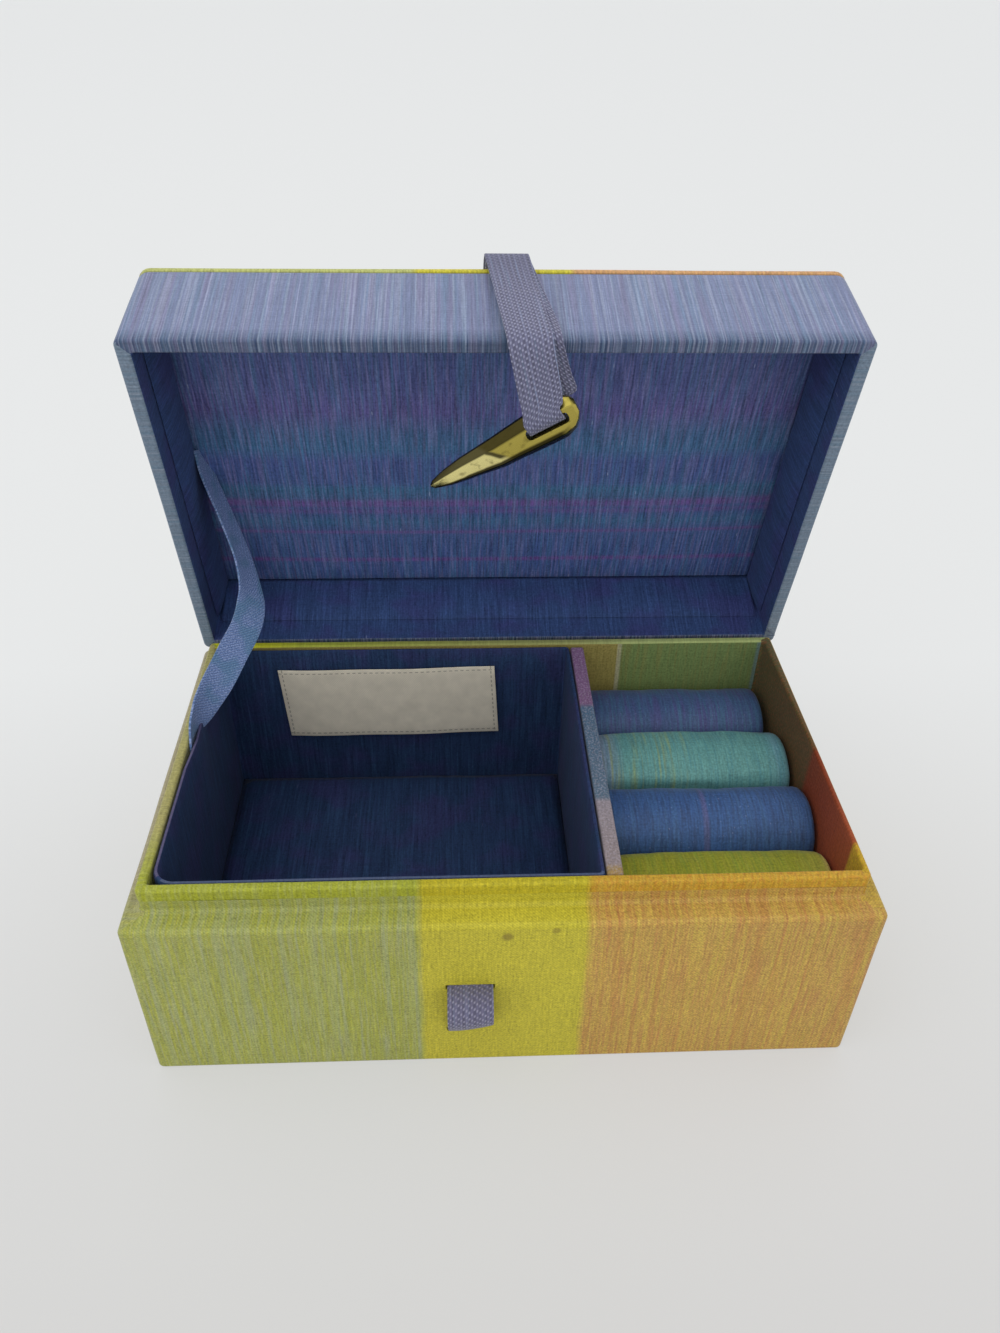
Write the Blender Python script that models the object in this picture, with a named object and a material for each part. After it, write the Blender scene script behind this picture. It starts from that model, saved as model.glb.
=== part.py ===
"""A silk-covered travel jewelry box, open as photographed: base with raised neck, well and ring rolls, hinged
lid, stay ribbon, closure loop, and a tape strap that carries a brass toggle. X runs along the front, Y to the
back and Z up."""

import math

import bmesh
import bpy
from mathutils import Matrix, Vector

MM = 0.001

# The box as a whole
BOX_LENGTH = 155.0 * MM
BOX_DEPTH = 95.0 * MM
BASE_HEIGHT = 46.3 * MM
LID_HEIGHT = 27.5 * MM
LID_OPEN_DEG = 76.0
SEAM = 0.3 * MM
HALF_LENGTH = BOX_LENGTH / 2
HALF_DEPTH = BOX_DEPTH / 2

# Covered board edges
CORNER_RADIUS = 1.5 * MM
EDGE_RADIUS = 1.2 * MM
FOOT_RADIUS = 0.5 * MM
CORNER_STEPS = 5
EDGE_STEPS = 3

# Base tray
SIDE_LEDGE = 3.4 * MM
END_LEDGE = 5.5 * MM
FLOOR_THICKNESS = 2.6 * MM
SHEET_THICKNESS = 0.7 * MM
SHEET_INSET = 3.0 * MM

# Neck that stands proud of the ledge
NECK_THICKNESS = 2.0 * MM
NECK_RISE = 6.0 * MM
NECK_CORNER = 1.2 * MM
NECK_INNER_CORNER = 0.7 * MM
NECK_TOP_RADIUS = 0.7 * MM

# Divider between the well and the ring compartment
DIVIDER_THICKNESS = 3.4 * MM
DIVIDER_DROP = 0.6 * MM
DIVIDER_END_RADIUS = 1.0 * MM
DIVIDER_TOP_RADIUS = 0.4 * MM

# Well: card liner, floor board, pad and blank label
LINER_THICKNESS = 1.0 * MM
LINER_SIDE_GAP = 1.1 * MM
LINER_END_GAP = 0.5 * MM
LINER_SOFT_CORNER = 4.5 * MM
LINER_FOLD = 0.8 * MM
LINER_DROP = 0.5 * MM
WELL_BOARD_THICKNESS = 1.2 * MM
PAD_SIDE_HEIGHT = 2.4 * MM
PAD_CROWN = 1.8 * MM
PAD_GAP = 0.5 * MM
PAD_STEPS = 7
LABEL_LENGTH = 57.0 * MM
LABEL_HEIGHT = 22.4 * MM
LABEL_THICKNESS = 0.35 * MM
LABEL_OFF_CENTRE = 2.1 * MM
LABEL_BELOW_NECK = 17.1 * MM
LABEL_BOW = 0.5 * MM
LABEL_STEPS = 12

# Ring compartment: four padded rolls on a raised bed
RING_SPACE = 48.4 * MM
ROLL_COUNT = 4
ROLL_END_GAP = 0.4 * MM
ROLL_HEIGHT = 20.4 * MM
ROLL_BELOW_NECK = 19.5 * MM
ROLL_GAP = 0.4 * MM
ROLL_SQUARENESS = 2.35
ROLL_END_DOME = 1.5 * MM
ROLL_BACK_SINK = 1.5 * MM
ROLL_FRONT_SINK = 2.5 * MM
ROLL_MIDDLE_SWELL = 0.35 * MM
ROLL_SEGMENTS = 28
ROLL_STATIONS = 7
ROLL_DOME_STEPS = 4
BED_THICKNESS = 1.5 * MM
BED_INSET = 0.6 * MM
BLOCK_INSET = 2.0 * MM

# Lid
LID_WALL = 3.1 * MM
LID_INNER_CORNER = 0.8 * MM
LID_TOP_CORNER = 3.0 * MM
LID_BOARD = 2.2 * MM
LID_PANEL_THICKNESS = 1.5 * MM
PANEL_EDGE_RADIUS = 0.5 * MM
LID_CARD = 1.0 * MM
LID_TOP_CARD = 1.2 * MM
LID_CARD_CROWN = 0.9 * MM
LID_CARD_STEPS = 4
CARD_RIM_SETBACK = 7.0 * MM
CARD_CORNER = 0.8 * MM

# Cloth hinge along the back
HINGE_LEAF = 7.0 * MM
HINGE_CLOTH = 0.5 * MM
HINGE_END_INSET = 4.0 * MM
HINGE_STEPS = 7
HINGE_HANDLE_SHARE = 0.1

# Woven tape of the strap and of the closure loop
TAPE_WIDTH = 9.6 * MM
TAPE_THICKNESS = 0.75 * MM
TAPE_PAIR = 1.7 * MM
STRAP_TOP_X = 2.3 * MM
STRAP_RIM_X = 5.5 * MM
STRAP_SLIT_SETBACK = 13.0 * MM
STRAP_SLIT_HEIGHT = 2.6 * MM
STRAP_REST_HEIGHT = 1.4 * MM
STRAP_FOLD_OUT = 1.3 * MM
STRAP_FOLD_RISE = 1.3 * MM
STRAP_STANDOFF = 2.0 * MM
STRAP_BELLY = 0.5 * MM
STRAP_STEPS = 5
PIVOT_BELOW_RIM = 2.7 * MM
KNUCKLE_SEGMENTS = 16

# Hanging loop of the strap, and the bar of the toggle that it holds
BAR_OFFSET_X = 2.7 * MM
BAR_OFFSET_DOWN = 15.2 * MM
BAR_TILT_DEG = 29.0
LOOP_INNER_RADIUS = 2.6 * MM
LOOP_SPLIT_SHARE = 0.2
LOOP_SPLIT_WIDTH = 0.3 * MM
LOOP_RUN_STEPS = 7
LOOP_TURN_STEPS = 12

# Brass toggle, a tusk with a slot
TOGGLE_TIP = 28.2 * MM
TOGGLE_END = 7.3 * MM
TOGGLE_TOP = 1.3 * MM
TOGGLE_BOTTOM = 7.8 * MM
TOGGLE_TIP_DROP = 3.1 * MM
TOGGLE_TIP_HEIGHT = 1.0 * MM
TOGGLE_THICKNESS = 4.2 * MM
TOGGLE_TIP_THICKNESS_SHARE = 0.5
TOGGLE_FACET_SHARE = 0.58
TOGGLE_EDGE_SHARE = 0.4
# Shares of the spans that the tusk's outline crosses, for the handles of its curves
TIP_RUN_SHARE = 0.3
TIP_RISE_SHARE = 0.62
TIP_FALL_SHARE = 0.64
SHOULDER_SHARE = 0.7
SHOULDER_RUN_SHARE = 0.35
SHOULDER_HANDLE_SHARE = 0.7
NOSE_HANDLE_SHARE = 0.6
HEEL_SHARE = 0.3
HEEL_CORNER_SHARE = 0.9
HEEL_HANDLE_SHARE = 0.55
SLOT_HEIGHT = 2.6 * MM
SLOT_MARGIN = 0.6 * MM
SLOT_CORNER = 1.0 * MM
TOGGLE_STEPS = 10

# Closure loop on the front of the base
CLOSURE_X = -7.8 * MM
CLOSURE_TOP = 26.9 * MM
CLOSURE_BOTTOM = 12.9 * MM
CLOSURE_BOW = 5.9 * MM
CLOSURE_SKEW_DEG = 12.0
CLOSURE_TUCK = 2.6 * MM
CLOSURE_SLIT_HEIGHT = 1.5 * MM
CLOSURE_SLIT_MARGIN = 0.4 * MM
CLOSURE_STEPS = 14

# Stay ribbon from the lid's left side to the left of the base
RIBBON_WIDTH = 7.0 * MM
RIBBON_THICKNESS = 0.5 * MM
RIBBON_LID_REACH = 48.0 * MM
RIBBON_BASE_REACH = 43.5 * MM
RIBBON_TUCK = 6.0 * MM
RIBBON_ELBOW_INWARD = 11.5 * MM
RIBBON_ELBOW_SETBACK = 6.0 * MM
RIBBON_ELBOW_RISE = 12.2 * MM
RIBBON_ELBOW_DIP_DEG = 37.0
RIBBON_LEAVE = 8.0 * MM
RIBBON_UPPER_PULL = 12.0 * MM
RIBBON_LOWER_PULL = 4.0 * MM
RIBBON_END_INWARD = 3.5 * MM
RIBBON_END_BACK = 8.0 * MM
RIBBON_END_RISE = 4.5 * MM
RIBBON_STEPS = 14

OPEN = math.radians(LID_OPEN_DEG)
BAR_TILT = math.radians(BAR_TILT_DEG)
X_AXIS = Vector((1, 0, 0))
Y_AXIS = Vector((0, 1, 0))
Z_AXIS = Vector((0, 0, 1))
QUARTER = math.pi / 2

# Places that follow from the sizes
NECK_HALF_X = HALF_LENGTH - SIDE_LEDGE
NECK_HALF_Y = HALF_DEPTH - END_LEDGE
INNER_HALF_X = NECK_HALF_X - NECK_THICKNESS
INNER_HALF_Y = NECK_HALF_Y - NECK_THICKNESS
NECK_TOP = BASE_HEIGHT + NECK_RISE
FLOOR_UNDER = SHEET_THICKNESS + SEAM
FLOOR_TOP = FLOOR_UNDER + FLOOR_THICKNESS
DIVIDER_RIGHT_X = INNER_HALF_X - RING_SPACE
DIVIDER_LEFT_X = DIVIDER_RIGHT_X - DIVIDER_THICKNESS
WELL_LEFT = -INNER_HALF_X + LINER_SIDE_GAP
WELL_RIGHT = DIVIDER_LEFT_X - SEAM
WELL_HALF_Y = INNER_HALF_Y - LINER_END_GAP
WELL_CENTRE_X = (WELL_LEFT + WELL_RIGHT) / 2
WELL_HALF_X = (WELL_RIGHT - WELL_LEFT) / 2
RING_LEFT = DIVIDER_RIGHT_X + SEAM
RING_RIGHT = INNER_HALF_X - SEAM
RING_CENTRE_X = (RING_LEFT + RING_RIGHT) / 2
ROLL_LENGTH = RING_RIGHT - RING_LEFT - 2 * ROLL_END_GAP
ROLL_CENTRE_HEIGHT = NECK_TOP - ROLL_BELOW_NECK
LID_ROOF_UNDER = LID_HEIGHT - LID_PANEL_THICKNESS - SEAM - LID_BOARD
CARD_TOP = LID_ROOF_UNDER - SEAM - LID_TOP_CARD - LID_CARD_CROWN - SEAM
RIM_FRONT = -BOX_DEPTH
PIVOT_Y = RIM_FRONT - STRAP_STANDOFF
PIVOT_Z = -PIVOT_BELOW_RIM


def clear_scene():
    for obj in list(bpy.data.objects):
        bpy.data.objects.remove(obj, do_unlink=True)


def material(name, colour, roughness, metallic=0.0):
    """A plain Principled BSDF; colour is linear RGB."""
    made = bpy.data.materials.new(name)
    made.use_nodes = True
    shader = made.node_tree.nodes["Principled BSDF"]
    shader.inputs["Base Color"].default_value = (*colour, 1)
    shader.inputs["Roughness"].default_value = roughness
    shader.inputs["Metallic"].default_value = metallic
    made.diffuse_color = (*colour, 1)
    return made


def finish(name, bm, mat, parent=None, sharp_deg=40):
    """Turns the mesh's faces outward, links it as an object and shades its curves smooth."""
    bmesh.ops.recalc_face_normals(bm, faces=bm.faces)
    mesh = bpy.data.meshes.new(name)
    bm.to_mesh(mesh)
    bm.free()
    mesh.materials.append(mat)
    mesh.shade_smooth()
    mesh.set_sharp_from_angle(angle=math.radians(sharp_deg))
    obj = bpy.data.objects.new(name, mesh)
    bpy.context.scene.collection.objects.link(obj)
    obj.parent = parent
    return obj


def empty(name, location, turn=0.0, axis="X", parent=None):
    """A guide on a joint's axis, which its pieces hang from."""
    made = bpy.data.objects.new(name, None)
    bpy.context.scene.collection.objects.link(made)
    made.empty_display_size = EDGE_RADIUS
    made.location = location
    made.rotation_euler = Matrix.Rotation(turn, 3, axis).to_euler()
    made.parent = parent
    return made


def cut(target, cutter):
    """Subtracts the cutter, which stays in the file as a wire helper."""
    cutter.hide_render = True
    cutter.display_type = "WIRE"
    cut_away = target.modifiers.new("cut", "BOOLEAN")
    cut_away.operation = "DIFFERENCE"
    cut_away.object = cutter
    return target


def add_ring(bm, points, level):
    """A ring with a vertex for each point, at its level of a straight stack. Returns its vertices and edges."""
    turn = 2 * math.pi / len(points)
    verts = [bm.verts.new((math.cos(turn * i), math.sin(turn * i), level)) for i in range(len(points))]
    edges = [bm.edges.new(pair) for pair in zip(verts, verts[1:] + verts[:1])]
    return verts, edges


def loft(loops, closed=False):
    """Bridges a stack of rings, fills or joins its ends, then moves each ring to its own points."""
    bm = bmesh.new()
    rings = [add_ring(bm, points, level) for level, points in enumerate(loops)]
    edges = [ring[1] for ring in rings]
    if closed:
        edges.append(edges[0])
    for first, second in zip(edges, edges[1:]):
        bmesh.ops.bridge_loops(bm, edges=first + second)
    if not closed:
        bmesh.ops.contextual_create(bm, geom=edges[0])
        bmesh.ops.contextual_create(bm, geom=edges[-1])
    for (verts, _), points in zip(rings, loops):
        for vert, point in zip(verts, points):
            vert.co = point
    bm.normal_update()
    return bm


def rounded_rectangle(half_x, half_y, radius, z, centre=(0.0, 0.0), front_left=None):
    """One level of a box: a rectangle with round corners, where the front left one can have its own radius."""
    points = []
    for quarter, (sx, sy) in enumerate(((1, 1), (-1, 1), (-1, -1), (1, -1))):
        own = front_left if front_left and sx < 0 and sy < 0 else radius
        own = min(own, half_x, half_y)
        for step in range(CORNER_STEPS + 1):
            angle = QUARTER * (quarter + step / CORNER_STEPS)
            x = sx * (half_x - own) + own * math.cos(angle)
            y = sy * (half_y - own) + own * math.sin(angle)
            points.append(Vector((centre[0] + x, centre[1] + y, z)))
    return points


def rounded_levels(half_x, half_y, corners, low, high, foot, top, centre=(0.0, 0.0)):
    """The outer side of a board box from foot to top, with round edges and a corner radius for each end."""
    levels = []
    for step in range(EDGE_STEPS + 1):
        angle = QUARTER * step / EDGE_STEPS
        inset = foot * (1 - math.sin(angle))
        z = low + foot * (1 - math.cos(angle))
        levels.append(rounded_rectangle(half_x - inset, half_y - inset, corners[0], z, centre))
    for step in range(EDGE_STEPS + 1):
        angle = QUARTER * step / EDGE_STEPS
        inset = top * (1 - math.cos(angle))
        z = high - top * (1 - math.sin(angle))
        levels.append(rounded_rectangle(half_x - inset, half_y - inset, corners[1], z, centre))
    return levels


def block(name, low, high, edge, mat, parent=None):
    """A board with round edges between two opposite corners."""
    bm = bmesh.new()
    bmesh.ops.create_cube(bm, size=1)
    size = Vector(high) - Vector(low)
    middle = (Vector(high) + Vector(low)) / 2
    bmesh.ops.scale(bm, vec=size, verts=bm.verts)
    bmesh.ops.translate(bm, vec=middle, verts=bm.verts)
    if edge:
        bmesh.ops.bevel(bm, geom=bm.edges[:], offset=edge, segments=2, profile=0.5, affect="EDGES", material=-1)
    return finish(name, bm, mat, parent)


def smooth_path(points, steps):
    """A Catmull-Rom curve through the points, with the same number of steps in each span."""
    padded = [2 * points[0] - points[1], *points, 2 * points[-1] - points[-2]]
    path = []
    for a, b, c, d in zip(padded, padded[1:], padded[2:], padded[3:]):
        for step in range(steps):
            t = step / steps
            path.append(
                b
                + (c - a) * (t / 2)
                + (2 * a - 5 * b + 4 * c - d) * (t * t / 2)
                + (3 * b - a - 3 * c + d) * (t**3 / 2)
            )
    path.append(points[-1])
    return path


def bezier(p0, p1, p2, p3, steps, last=True):
    """Points along a cubic curve with its two handles."""
    curve = []
    for step in range(steps + last):
        t = step / steps
        u = 1 - t
        curve.append(p0 * u**3 + p1 * (3 * u * u * t) + p2 * (3 * u * t * t) + p3 * t**3)
    return curve


def tape(stations, width, thickness):
    """A flat band. Each station is its centre, the direction across it and the direction out of its face."""
    loops = []
    for centre, across, out in stations:
        side = across * (width / 2)
        lift = out * (thickness / 2)
        loops.append([centre - side - lift, centre + side - lift, centre + side + lift, centre - side + lift])
    return loft(loops)


def along(path, index):
    """The direction of a path at one of its points."""
    ahead = path[min(index + 1, len(path) - 1)]
    behind = path[max(index - 1, 0)]
    return (ahead - behind).normalized()


def lid_point(x, y, z):
    """A point given on the closed lid, measured from the hinge line, where the open lid carries it."""
    turned = Matrix.Rotation(-OPEN, 3, "X") @ Vector((x, y, z))
    return turned + Vector((0, HALF_DEPTH, BASE_HEIGHT))


def make_base(mats):
    """Tray with a recessed bottom sheet; its wall tops are the ledge that the lid's rim meets."""
    sheet_half_x = HALF_LENGTH - SHEET_INSET
    sheet_half_y = HALF_DEPTH - SHEET_INSET
    cavity_half_x = NECK_HALF_X + SEAM
    cavity_half_y = NECK_HALF_Y + SEAM
    levels = [
        rounded_rectangle(sheet_half_x + SEAM, sheet_half_y + SEAM, NECK_CORNER, FLOOR_UNDER),
        rounded_rectangle(sheet_half_x + SEAM, sheet_half_y + SEAM, NECK_CORNER, 0),
    ]
    corners = (CORNER_RADIUS, CORNER_RADIUS)
    levels += rounded_levels(HALF_LENGTH, HALF_DEPTH, corners, 0, BASE_HEIGHT, FOOT_RADIUS, EDGE_RADIUS)
    levels += [
        rounded_rectangle(cavity_half_x, cavity_half_y, NECK_CORNER, BASE_HEIGHT),
        rounded_rectangle(cavity_half_x, cavity_half_y, NECK_CORNER, FLOOR_TOP),
    ]
    tray = finish("base_tray", loft(levels), mats["outer_silk"])
    slit_half_x = TAPE_WIDTH / 2 + CLOSURE_SLIT_MARGIN
    for end, height, skew in (("upper", CLOSURE_TOP, 0.0), ("lower", CLOSURE_BOTTOM, CLOSURE_SKEW_DEG)):
        low = (-slit_half_x, -CLOSURE_TUCK - SEAM, -CLOSURE_SLIT_HEIGHT / 2)
        high = (slit_half_x, CLOSURE_TUCK + SEAM, CLOSURE_SLIT_HEIGHT / 2)
        slit = block("slit_cutter_" + end, low, high, 0, mats["card"])
        slit.location = (CLOSURE_X, -HALF_DEPTH, height)
        slit.rotation_euler = (0, -math.radians(skew), 0)
        cut(tray, slit)
    sheet = loft(
        [
            rounded_rectangle(sheet_half_x, sheet_half_y, NECK_CORNER, 0),
            rounded_rectangle(sheet_half_x, sheet_half_y, NECK_CORNER, SHEET_THICKNESS),
        ]
    )
    finish("bottom_sheet", sheet, mats["card"])


def make_neck(mats):
    """Silk-covered band inside the tray that stands proud of the ledge and centres the lid."""
    foot = FLOOR_TOP + SEAM
    levels = [rounded_rectangle(NECK_HALF_X, NECK_HALF_Y, NECK_CORNER, foot)]
    inner = []
    for step in range(EDGE_STEPS + 1):
        angle = QUARTER * step / EDGE_STEPS
        inset = NECK_TOP_RADIUS * (1 - math.cos(angle))
        z = NECK_TOP - NECK_TOP_RADIUS * (1 - math.sin(angle))
        levels.append(rounded_rectangle(NECK_HALF_X - inset, NECK_HALF_Y - inset, NECK_CORNER - inset, z))
        corner = NECK_INNER_CORNER + inset
        inner.append(rounded_rectangle(INNER_HALF_X + inset, INNER_HALF_Y + inset, corner, z))
    levels += inner[::-1]
    levels.append(rounded_rectangle(INNER_HALF_X, INNER_HALF_Y, NECK_INNER_CORNER, foot))
    finish("neck_frame", loft(levels, closed=True), mats["neck_silk"])


def make_divider(mats):
    """Upright board whose top corners are rounded where the silk is drawn down at its ends."""
    low = FLOOR_TOP + SEAM
    high = NECK_TOP - DIVIDER_DROP
    reach = INNER_HALF_Y - SEAM
    outline = [Vector((0, -reach, low)), Vector((0, reach, low))]
    for side, start in ((1, 0.0), (-1, QUARTER)):
        for step in range(EDGE_STEPS + 1):
            angle = start + QUARTER * step / EDGE_STEPS
            y = side * (reach - DIVIDER_END_RADIUS) + DIVIDER_END_RADIUS * math.cos(angle)
            z = high - DIVIDER_END_RADIUS + DIVIDER_END_RADIUS * math.sin(angle)
            outline.append(Vector((0, y, z)))
    loops = []
    for x, share in ((0, 1), (0, 0), (1, 0), (1, 1)):
        face_x = DIVIDER_LEFT_X + DIVIDER_THICKNESS * x
        inward = DIVIDER_TOP_RADIUS * (1 - share) * (1 - 2 * x)
        drop = DIVIDER_TOP_RADIUS * share
        loops.append([p + Vector((face_x + inward, 0, -drop if p.z > low else 0)) for p in outline])
    finish("divider", loft(loops), mats["divider_silk"])


def make_well(mats):
    """Card liner bent round at the front left, its floor board and crowned pad, and the bare label at the back."""
    centre = (WELL_CENTRE_X, 0)
    foot = FLOOR_TOP + SEAM
    top = NECK_TOP - LINER_DROP
    half_edge = LINER_THICKNESS / 2
    inner_edge = LINER_THICKNESS - half_edge / 2
    outer = [(0, foot), (0, top - half_edge), (half_edge / 2, top)]
    inner = [(inner_edge, top), (LINER_THICKNESS, top - half_edge), (LINER_THICKNESS, foot)]
    levels = []
    for inset, z in outer + inner:
        soft = LINER_SOFT_CORNER - inset
        levels.append(rounded_rectangle(WELL_HALF_X - inset, WELL_HALF_Y - inset, LINER_FOLD, z, centre, soft))
    finish("well_liner", loft(levels, closed=True), mats["navy_silk"])
    half_x = WELL_HALF_X - LINER_THICKNESS - PAD_GAP
    half_y = WELL_HALF_Y - LINER_THICKNESS - PAD_GAP
    soft = LINER_SOFT_CORNER - LINER_THICKNESS
    board_top = foot + WELL_BOARD_THICKNESS
    board = [rounded_rectangle(half_x, half_y, LINER_FOLD, z, centre, soft) for z in (foot, board_top)]
    finish("well_board", loft(board), mats["card"])
    pad = crowned_pad(half_x, half_y, soft, board_top + SEAM, centre)
    finish("well_pad", pad, mats["navy_silk"])
    back = WELL_HALF_Y - LINER_THICKNESS - SEAM - LABEL_THICKNESS / 2
    stations = []
    for step in range(LABEL_STEPS + 1):
        share = 2 * step / LABEL_STEPS - 1
        bow = LABEL_BOW * (1 - share * share)
        along_x = WELL_CENTRE_X - LABEL_OFF_CENTRE + share * LABEL_LENGTH / 2
        centre_point = Vector((along_x, back - bow, NECK_TOP - LABEL_BELOW_NECK))
        slope = Vector((LABEL_LENGTH / 2, 2 * LABEL_BOW * share, 0)).normalized()
        stations.append((centre_point, Z_AXIS, slope.cross(Z_AXIS)))
    finish("blank_label", tape(stations, LABEL_HEIGHT, LABEL_THICKNESS), mats["label_cotton"])


def crowned_pad(half_x, half_y, soft_corner, low, centre):
    """A stuffed pad: its sides draw in at foot and shoulder, and its top rises to a crown in the middle."""
    levels = []
    for step in range(PAD_STEPS):
        angle = math.pi * (step / (PAD_STEPS - 1) - 0.5)
        inset = PAD_SIDE_HEIGHT / 2 * (1 - math.cos(angle))
        z = low + PAD_SIDE_HEIGHT / 2 * (1 + math.sin(angle))
        soft = soft_corner - inset / 2
        levels.append(rounded_rectangle(half_x - inset, half_y - inset, LINER_FOLD, z, centre, soft))
    reach = min(half_x, half_y) - PAD_SIDE_HEIGHT / 2
    for step in range(1, PAD_STEPS):
        share = step / PAD_STEPS
        inset = PAD_SIDE_HEIGHT / 2 + share * reach
        z = low + PAD_SIDE_HEIGHT + PAD_CROWN * math.sin(QUARTER * share)
        fold = LINER_FOLD * (1 - share)
        soft = soft_corner * (1 - share)
        levels.append(rounded_rectangle(half_x - inset, half_y - inset, fold, z, centre, soft))
    return loft(levels)


def make_rings(mats):
    """Foam block, covered bed and a row of padded rolls, of which the back and front ones are pressed lower."""
    foot = FLOOR_TOP + SEAM
    bed_top = ROLL_CENTRE_HEIGHT - ROLL_HEIGHT / 2 - SEAM
    bed_low = bed_top - BED_THICKNESS
    bed_half_y = INNER_HALF_Y - BED_INSET
    low = (RING_LEFT + BED_INSET, -bed_half_y, bed_low)
    high = (RING_RIGHT - BED_INSET, bed_half_y, bed_top)
    block("ring_bed", low, high, BED_THICKNESS / 4, mats["card"])
    low = (RING_LEFT + BLOCK_INSET, -bed_half_y + BLOCK_INSET, foot)
    high = (RING_RIGHT - BLOCK_INSET, bed_half_y - BLOCK_INSET, bed_low - SEAM)
    block("ring_bed_foam", low, high, 0, mats["foam"])
    pitch = 2 * (INNER_HALF_Y - SEAM) / ROLL_COUNT
    half_y = (pitch - ROLL_GAP) / 2
    half_z = ROLL_HEIGHT / 2
    for index in range(ROLL_COUNT):
        name = f"ring_roll_{index + 1}"
        colour = mats[("blue_violet_silk", "teal_silk", "blue_silk", "green_silk")[index]]
        sink = {0: ROLL_BACK_SINK, ROLL_COUNT - 1: ROLL_FRONT_SINK}.get(index, 0.0)
        place = (RING_CENTRE_X, pitch * ((ROLL_COUNT - 1) / 2 - index), ROLL_CENTRE_HEIGHT - sink / 2)
        roll = finish(name, ring_roll(half_y, half_z - sink / 2), colour, sharp_deg=60)
        roll.location = place


def ring_roll(half_y, half_z):
    """A roll along X: slightly square section, a little fuller in the middle, with domed ends."""
    half = ROLL_LENGTH / 2
    dome = []
    for step in range(1, ROLL_DOME_STEPS + 1):
        angle = QUARTER * step / ROLL_DOME_STEPS
        x = -half + ROLL_END_DOME * (1 - math.cos(angle))
        dome.append((x, ROLL_END_DOME * (1 - math.sin(angle))))
    body = []
    for step in range(1, ROLL_STATIONS):
        share = 2 * step / ROLL_STATIONS - 1
        body.append((share * (half - ROLL_END_DOME), 0.0))
    loops = []
    for x, inset in dome + body + [(-x, inset) for x, inset in dome[::-1]]:
        swell = ROLL_MIDDLE_SWELL * (1 - (x / half) ** 2)
        loops.append(roll_section(x, half_y - inset, half_z - ROLL_MIDDLE_SWELL + swell - inset))
    return loft(loops)


def roll_section(x, half_y, half_z):
    """A closed section between a circle and a square."""
    power = 2 / ROLL_SQUARENESS
    points = []
    for step in range(ROLL_SEGMENTS):
        angle = 2 * math.pi * step / ROLL_SEGMENTS
        y = math.copysign(abs(math.cos(angle)) ** power, math.cos(angle)) * half_y
        z = math.copysign(abs(math.sin(angle)) ** power, math.sin(angle)) * half_z
        points.append(Vector((x, y, z)))
    return points


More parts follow.
